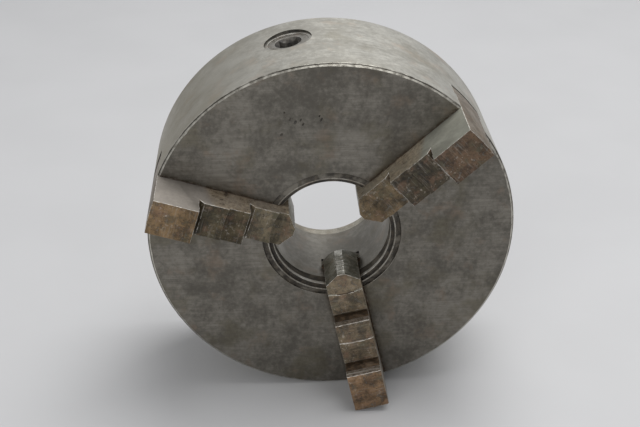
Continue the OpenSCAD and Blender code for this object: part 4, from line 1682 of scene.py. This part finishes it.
@dataclass
class ScrollPlate:
    """The scroll: a plate with one spiral ridge in front and a crown of gear teeth behind.

    Attributes:
        bore: Radius of the bore.
        outside: Radius of the plate.
        back: Height of the teeth's tips.
        root: Height of the plate's front between the turns.
        top: Height of the spiral ridge.
        pitch: Step of the spiral in one turn.
        ridge: Width of the ridge.
        thread_from: Radius at which the ridge starts.
        thread_to: Radius at which the ridge ends.
        start_radius: Radius from which the spiral's angle is counted.
        teeth: Number of crown teeth.
        tooth_from: Radius of the teeth's inner ends.
        tooth_root: Height of the teeth's roots.
        space_half: Half width of a tooth space at the tips.
        slope: How much narrower that half grows for each millimetre of depth.
        ring_steps: Number of steps round a full ring.
        turn_steps: Number of steps in one turn of the spiral.
        path_radius: Radius in metres of the path of a full ring.
    """

    bore: float = 54.05
    outside: float = 97.3
    back: float = 45.0
    root: float = 53.8
    top: float = 59.8
    pitch: float = 10.0
    ridge: float = 4.75
    thread_from: float = 57.0
    thread_to: float = 96.7
    start_radius: float = 54.0
    teeth: int = 66
    tooth_from: float = 79.0
    tooth_root: float = 49.76
    space_half: float = 3.26
    slope: float = 0.42
    ring_steps: int = 240
    turn_steps: int = 200
    path_radius: float = 1e-6

    def tooth(self) -> bmesh.types.BMesh:
        """One crown tooth at the place of angle 0; the spaces beside it have parallel walls.

        Returns:
            The tooth.
        """
        bm = bmesh.new()
        bmesh.ops.create_cube(bm, size=1)
        for v in bm.verts:
            r = self.outside if v.co.x > 0 else self.tooth_from
            h = self.tooth_root if v.co.y < 0 else self.back
            half = math.pi * r / self.teeth - (self.space_half - self.slope * (h - self.back))
            v.co = (r * MM, -h * MM, math.copysign(half, v.co.z) * MM)
        bmesh.ops.recalc_face_normals(bm, faces=bm.faces)
        return bm

    def build(self) -> None:
        """Makes the plate, its spiral and its teeth, and dresses them."""
        recipe = Recipe("scroll_recipe")
        given = recipe.given.outputs[0]
        count = recipe.size("Crown teeth", self.teeth)
        half_step = math.radians(pinion_angle(1) + 180 / self.teeth)
        first = recipe.size("First tooth angle", half_step)
        bore = recipe.size("Bore", self.bore * MM)
        rim = recipe.size("Outside", self.outside * MM)
        inner_rim = recipe.size("Inner end of teeth", self.tooth_from * MM)
        back = recipe.size("Back", self.back * MM)
        root = recipe.size("Thread root", self.root * MM)
        behind = recipe.size("Tooth root", self.tooth_root * MM)
        top = recipe.size("Thread top", self.top * MM)
        half = recipe.size("Half ridge", self.ridge / 2 * MM)
        low, high = self.thread_from + self.ridge / 2, self.thread_to - self.ridge / 2
        begin = recipe.size("Spiral start", low * MM)
        end = recipe.size("Spiral end", high * MM)
        turns = recipe.size("Turns", (high - low) / self.pitch)
        lead = recipe.size("Spiral angle", 2 * math.pi * ((low - self.start_radius) / self.pitch - 0.5))
        # A hoop's edges are measured from its path, so the path of a full ring has next to no radius.
        path = {"Resolution": self.ring_steps, "Radius": self.path_radius}
        circle = recipe.node("GeometryNodeCurvePrimitiveCircle", path).outputs[0]
        plate = recipe.hoop(bore, rim, behind, root, circle)
        hub = recipe.hoop(bore, inner_rim, back, behind, circle)
        spiral = recipe.node("GeometryNodeCurveSpiral", {
            "Resolution": self.turn_steps, "Rotations": turns, "Start Radius": begin, "End Radius": end,
            "Height": 0.0})
        minus = recipe.math("MULTIPLY", half, -1.0)
        thread = recipe.hoop(minus, half, root, top, spiral.outputs[0])
        turned = recipe.node("GeometryNodeTransform", {
            "Geometry": thread, "Rotation": recipe.vector(0.0, recipe.math("MULTIPLY", lead, -1.0), 0.0)})
        joined = recipe.node("GeometryNodeJoinGeometry")
        for part in (plate, hub, turned.outputs[0], recipe.around(given, count, first)):
            recipe.tree.links.new(part, joined.inputs[0])
        piece = as_object(self.tooth(), "spiral_scroll")
        recipe.apply(piece, joined.outputs[0], SCROLL.material())
        hand_over(piece, "scroll", "scroll_steel", "scroll_plate")


@dataclass
class Screws:
    """Three like screws set along the spin axis, each with a hexagon socket in its back end.

    Attributes:
        name: The piece's name.
        nodes: What the frame nodes' names begin with.
        circle: Radius of the circle that they stand on.
        first_angle: Angle of the first, in degrees.
        back: Height of their back ends.
        head: Radius of the head.
        head_length: Length of the head.
        shank: Radius of the shank.
        length: Whole length.
        across: Width of the socket across its flats.
        socket_depth: Depth of the socket.
        ease: Width of the eased edges.
    """

    name: str
    nodes: str
    circle: float
    first_angle: float
    back: float
    head: float
    head_length: float
    shank: float
    length: float
    across: float
    socket_depth: float
    ease: float = 0.4

    def screw(self) -> bpy.types.Object:
        """One screw at the place of angle 0.

        Returns:
            The screw.
        """
        e = self.ease
        outline = [(0, 0), (0, self.head - e), (e, self.head), (self.head_length - e, self.head),
                   (self.head_length, self.head - e), (self.head_length, self.shank),
                   (self.length - e, self.shank), (self.length, self.shank - e), (self.length, 0)]
        place = axial_matrix(0, self.circle, self.back)
        piece = as_object(disc_rod(outline, SCREW_STEPS, place), self.name)
        reach = self.across / 2 / math.cos(math.radians(30))
        corners = [math.radians(60 * i) for i in range(6)]
        hexagon = [(reach * math.cos(a), reach * math.sin(a)) for a in corners]
        carve(piece, [prism(hexagon, self.socket_depth + 1, place @ Matrix.Translation((0, 0, -MM)))])
        return piece

    def build(self) -> None:
        """Repeats the screw round the axis and dresses it."""
        recipe = Recipe(f"{self.name}_recipe")
        count = recipe.size("Screws", JAW_COUNT)
        first = recipe.size("First angle", math.radians(self.first_angle))
        piece = self.screw()
        recipe.apply(piece, recipe.around(recipe.given.outputs[0], count, first), BLACK.material())
        hand_over(piece, "body", "black_screw", *(f"{self.nodes}_{k}" for k in range(1, JAW_COUNT + 1)))


class JawZone(IntEnum):
    """Slots of a jaw's finishes."""

    FRONT = 0
    FLANK = 1
    GRIP = 2
    CORNER = 3
    NOSE = 4
    CREST_HIGHLIGHT = 5
    END = 6


@dataclass
class Jaw:
    """One reversed jaw: rusty stepped front, ground flanks and a serrated nose.

    Attributes:
        number: Which jaw, from 1.
        step_1: Colour of its first step.
        step_2: Colour of its second step.
        block: Colour of its outer block.
        clean: Colour of its flanks where they are clean.
        bevel: Width of its eased edges.
        face_height: Height of the body's face.
        step_tops: Heights of the second step and of the block.
        grip: Height of each gripping land.
        nose_end: Radius at which the nose passes into the shank.
        nose_half: Half width of the flat on the nose.
        ledges: Radii of the curved ledges in the first two steps.
        ledge_highlight: Whether those ledges keep their rubbed colour as a painted highlight, where light
            from above falls on them.
        end_from: Radius past which a face that looks outwards is the jaw's end.
        second_from: Radius past which a riser belongs to the block.
        flank_rise: Height above the body's face from which the nose's sides count as flanks.
        square: Least share of a normal along an axis for a face to look that way.
        shaded_edge_share: How much of the rubbed colour is left on an edge that is given painted shade.
        ledge_reach: How near to a ledge's radius an eased edge is its own.
        side_share: Least share of a normal across the jaw for an eased edge to belong to a side.
        shade_below_up_share: Share of a normal along +Z below which an eased edge on a side is given
            painted shade.
    """

    number: int
    step_1: Colour
    step_2: Colour
    block: Colour
    clean: Colour
    bevel: float = 0.28
    face_height: float = 87.5
    step_tops: tuple[float, float] = (109.1, 122.0)
    grip: float = 7.0
    nose_end: float = 42.0
    nose_half: float = 2.6
    ledges: tuple[float, float] = (42.5, 75.7)
    ledge_highlight: bool = False
    end_from: float = 100.0
    second_from: float = 80.0
    flank_rise: float = 9.0
    square: float = 0.72
    shaded_edge_share: float = 0.15
    ledge_reach: float = 0.8
    side_share: float = 0.3
    shade_below_up_share: float = 0.35

    def paint_edge_shade(self, piece: bpy.types.Object) -> None:
        """Paints shade on the eased edges that face away from the light above, the lower sides and most
        ledges, by taking back their rubbed colour; the rubbed colour left on the upper edges is partly a
        painted highlight.

        Args:
            piece: The jaw, with its worn edges painted.
        """
        turn = spin_matrix(-jaw_angle(self.number))
        worn = piece.data.attributes[WORN].data
        for face in piece.data.polygons:
            place, facing = turn @ (face.center / MM), turn @ face.normal
            away = math.hypot(place.x, place.z)
            ledge = any(abs(away - r) < self.ledge_reach for r in self.ledges) and not self.ledge_highlight
            under = abs(facing.z) > self.side_share and face.normal.z < self.shade_below_up_share
            # Painted shade: edges on the lower sides, and ledges not marked lit, keep little of their
            # rubbed colour.
            if ledge or under:
                for loop in face.loop_indices:
                    worn[loop].value *= self.shaded_edge_share

    def zone(self, centre: Vector, normal: Vector) -> int:
        """Slot of a face.

        Args:
            centre: The face's centre, in millimetres.
            normal: Its outward normal.

        Returns:
            The slot's number.
        """
        turn = spin_matrix(-jaw_angle(self.number))
        place, facing = turn @ centre, turn @ normal
        r, h = place.x, -place.y
        if abs(facing.z) > self.square:
            high = h > self.face_height + self.flank_rise
            return JawZone.FLANK if r > self.nose_end or high else JawZone.NOSE
        if facing.x > self.square and r > self.end_from:
            return JawZone.END
        if facing.x < -0.4 and r > self.nose_end:
            step = self.step_tops[0] if r < self.second_from else self.step_tops[1]
            return JawZone.GRIP if h > step - self.grip - 0.2 and facing.x < -0.9 else JawZone.CORNER
        if facing.x < -0.4:
            return JawZone.CREST_HIGHLIGHT if abs(place.z) < self.nose_half else JawZone.NOSE
        return JawZone.FRONT if h > self.face_height else JawZone.CORNER

    def build(self) -> None:
        """Copies, eases and dresses the jaw."""
        node = f"jaw_{self.number}"
        piece = solid_copy(node, f"stepped_jaw_{self.number}", self.bevel)
        # Painted shade on the edges that face away from the light.
        self.paint_edge_shade(piece)
        turn = spin_matrix(-jaw_angle(self.number))
        note_place(piece, JAW_AXES @ turn)
        # Each finish takes its own seed from the jaw's number, so that no two patterns match.
        front = JawFront(f"jaw_front_{self.number}", self.number * 1.7, self.step_1, self.step_2,
                         self.block)
        finishes = {
            JawZone.FRONT: front,
            JawZone.FLANK: JawSide(f"jaw_side_{self.number}", self.number * 2.3, self.clean),
            JawZone.GRIP: GripLand(f"jaw_grip_{self.number}", self.number * 0.9),
            JawZone.CORNER: CORNER_SHADE, JawZone.NOSE: NOSE, JawZone.CREST_HIGHLIGHT: CREST_HIGHLIGHT, JawZone.END: JAW_END,
        }
        dress(piece, [finishes[zone].material() for zone in JawZone], self.zone, sharp=35)
        hand_over(piece, node, "jaw_steel", node)


class StationZone(IntEnum):
    """Slots of the finishes of a pinion or its bush."""

    STEEL = 0
    GRIME = 1


@dataclass
class PinionStation:
    """A key pinion and the bush it turns in, with grime in the key socket.

    Attributes:
        number: Which pinion, from 1.
        height: Height of its axis above the back face.
        head_end: Distance from the spin axis to the outer end of the pinion's head.
        bush_end: Distance from the spin axis to the outer end of the bush.
        mouth: Radius of the countersink round the key socket.
        socket_from: Distance from the spin axis past which the inside of the socket counts.
        head_bevel: Width of the pinion's eased edges.
        bush_bevel: Width of the bush's eased edges.
    """

    number: int
    height: float = 34.028
    head_end: float = 122.7
    bush_end: float = 123.1
    mouth: float = 9.3
    socket_from: float = 100.0
    head_bevel: float = 0.25
    bush_bevel: float = 0.3

    def own_axes(self) -> Matrix:
        """Carries a point of the part to (outwards, across, up) on the pinion's own axis."""
        return PINION_AXES @ radial_matrix(pinion_angle(self.number), self.height).inverted()

    def head_zone(self, centre: Vector, _: Vector) -> int:
        """Slot of a face of the pinion.

        Args:
            centre: The face's centre, in millimetres.

        Returns:
            The slot's number.
        """
        place = self.own_axes() @ (centre * MM) / MM
        off = math.hypot(place.y, place.z)
        socket = place.x > self.socket_from and off < self.mouth and place.x < self.head_end - 0.05
        return StationZone.GRIME if socket else StationZone.STEEL

    def sleeve_zone(self, centre: Vector, _: Vector) -> int:
        """Slot of a face of the bush, whose outer end alone is clean.

        Args:
            centre: The face's centre, in millimetres.

        Returns:
            The slot's number.
        """
        inside = (self.own_axes() @ (centre * MM)).x / MM < self.bush_end - 0.6
        return StationZone.GRIME if inside else StationZone.STEEL

    def build(self) -> None:
        """Copies, eases and dresses both pieces."""
        own = self.own_axes()
        grime = SOCKET_GRIME.material()
        head = solid_copy(f"pinion_{self.number}", f"key_pinion_{self.number}", self.head_bevel)
        note_place(head, own)
        dress(head, [HARD.material(), grime], self.head_zone)
        hand_over(head, f"pinion_{self.number}", "pinion_steel", f"pinion_{self.number}")
        sleeve = solid_copy(f"pinion_bush_{self.number}", f"pinion_sleeve_{self.number}", self.bush_bevel)
        note_place(sleeve, own)
        dress(sleeve, [BUSH.material(), grime], self.sleeve_zone)
        hand_over(sleeve, "body", "bush_steel", f"pinion_bush_{self.number}")


@dataclass
class EasedPiece:
    """A turned or milled piece that keeps its shape and has its edges eased.

    Attributes:
        node: The frame node.
        name: The piece's name.
        body: The body that it rides on.
        slot: Its material slot.
        finish: Its finish.
        bevel: Width of the eased edges.
    """

    node: str
    name: str
    body: str
    slot: str
    finish: Steel
    bevel: float

    def build(self) -> None:
        """Copies, eases and dresses the piece."""
        piece = solid_copy(self.node, self.name, self.bevel)
        dress(piece, [self.finish.material()], lambda *_: 0)
        hand_over(piece, self.body, self.slot, self.node)


# ---------------------------------------------------------------------- stage


@dataclass
class Stage:
    """Pale floor, soft lights and the camera.

    Attributes:
        camera_place: Where the camera stands, in metres.
        yaw: Its turn to the right of straight ahead, in degrees.
        pitch: How far it looks down, in degrees.
        lens: Its focal length.
        sensor: Width of its sensor.
        floor_colour: Darkest colour of the floor.
        floor_size: Half the floor's side, in metres.
        sky: Colour of the even light.
        sky_strength: Strength of the even light.
    """

    camera_place: Triple = (-0.04296, -0.75195, 0.3868)
    yaw: float = 3.005
    pitch: float = 29.04
    lens: float = 63.49
    sensor: float = 36
    floor_colour: Colour = rgb(0.49, 0.49, 0.495)
    floor_size: float = 6
    sky: Colour = rgb(0.97, 0.98, 1.0)
    sky_strength: float = 0.46

    def floor(self) -> None:
        """A wide plain floor under the rim."""
        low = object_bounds()[0][2]
        bm = bmesh.new()
        bmesh.ops.create_grid(bm, x_segments=1, y_segments=1, size=self.floor_size)
        bm.transform(Matrix.Translation((0, 0, low)))
        piece = as_object(bm, "floor")
        s = Shader("floor_paint")
        soft = s.noise(s.where(), 9, 3, 0.5)
        lighter = rgb(*(c * 1.03 for c in self.floor_colour[:3]))
        colour = s.mix(s.band(soft, 0.3, 0.7), self.floor_colour, lighter)
        piece.data.materials.append(s.surface(colour, 0.6, 0.0))
        piece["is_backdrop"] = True

    def light(self, name: str, place: Triple, size: float, watts: float) -> None:
        """One square soft light, aimed at the chuck.

        Args:
            name: The light's name.
            place: Where it stands, in metres.
            size: Its side, in metres.
            watts: Its power.
        """
        lamp = bpy.data.lights.new(name, "AREA")
        lamp.size = size
        lamp.energy = watts
        made = bpy.data.objects.new(name, lamp)
        made.location = place
        made.rotation_euler = (-Vector(place)).to_track_quat("-Z", "Y").to_euler()
        bpy.context.scene.collection.objects.link(made)

    def camera(self) -> None:
        """The camera, a little left of the chuck's middle and looking down at it."""
        data = bpy.data.cameras.new("camera")
        data.lens = self.lens
        data.sensor_width = self.sensor
        made = bpy.data.objects.new("camera", data)
        yaw, pitch = math.radians(self.yaw), math.radians(self.pitch)
        ahead = Vector((math.sin(yaw) * math.cos(pitch), math.cos(yaw) * math.cos(pitch), -math.sin(pitch)))
        made.location = self.camera_place
        made.rotation_euler = ahead.to_track_quat("-Z", "Y").to_euler()
        bpy.context.scene.collection.objects.link(made)
        bpy.context.scene.camera = made

    def build(self) -> None:
        """Sets the whole stage."""
        self.floor()
        self.light("overhead", place=(0.45, 0.30, 1.85), size=1.5, watts=38)
        self.light("front_fill", place=(-0.8, -1.7, 0.55), size=1.4, watts=12)
        world = bpy.data.worlds.new("studio")
        world.use_nodes = True
        background = world.node_tree.nodes["Background"]
        background.inputs["Color"].default_value = self.sky
        background.inputs["Strength"].default_value = self.sky_strength
        bpy.context.scene.world = world
        self.camera()
        bpy.context.scene.view_settings.view_transform = "Standard"


def jaws() -> list[Jaw]:
    """The three jaws, each with its own age of rust and oil.

    Returns:
        The jaws, unbuilt.
    """
    return [
        Jaw(number=1, step_1=rgb(0.104, 0.074, 0.040), step_2=rgb(0.046, 0.035, 0.021),
            block=rgb(0.080, 0.050, 0.029), clean=rgb(0.24, 0.24, 0.20)),
        Jaw(number=2, step_1=rgb(0.105, 0.085, 0.053), step_2=rgb(0.056, 0.043, 0.022),
            block=rgb(0.140, 0.090, 0.043), clean=rgb(0.225, 0.203, 0.178)),
        # The bottom jaw's ledges keep their rubbed colour as a painted highlight, since light from above
        # falls on them.
        Jaw(number=3, step_1=rgb(0.120, 0.092, 0.058), step_2=rgb(0.092, 0.068, 0.041),
            block=rgb(0.140, 0.084, 0.043), clean=rgb(0.25, 0.225, 0.19), ledge_highlight=True),
    ]


def screw_sets() -> list[Screws]:
    """The cover's cap screws and the screws whose dogs hold the pinions.

    Returns:
        Both sets, unbuilt.
    """
    return [
        Screws(name="cap_screws", nodes="cover_screw", circle=48.5, first_angle=jaw_angle(1), back=5.3,
               head=5.0, head_length=6.0, shank=3.0, length=30.7, across=5.0, socket_depth=3.0),
        Screws(name="dog_screws", nodes="pinion_screw", circle=111.5, first_angle=pinion_angle(1), back=0.3,
               head=5.0, head_length=15.18, shank=3.0, length=21.43, across=5.0, socket_depth=5.0),
    ]


def main() -> None:
    """Builds the chuck and its stage."""
    logging.basicConfig(level=logging.INFO, format="%(name)s: %(message)s")
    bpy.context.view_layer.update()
    Stage().build()
    Body().build()
    Cover().build()
    ScrollPlate().build()
    for jaw in jaws():
        jaw.build()
    for k in range(1, JAW_COUNT + 1):
        PinionStation(k).build()
    for screws in screw_sets():
        screws.build()
    EasedPiece(node="thrust_ring", name="ground_ring", body="body", slot="ring_steel", finish=RING,
               bevel=0.3).build()
    for k in (1, 2):
        EasedPiece(node=f"cover_dowel_{k}", name=f"dowel_{k}", body="body", slot="dowel_steel",
                   finish=PIN, bevel=0.3).build()


if __name__ == "__main__":
    main()
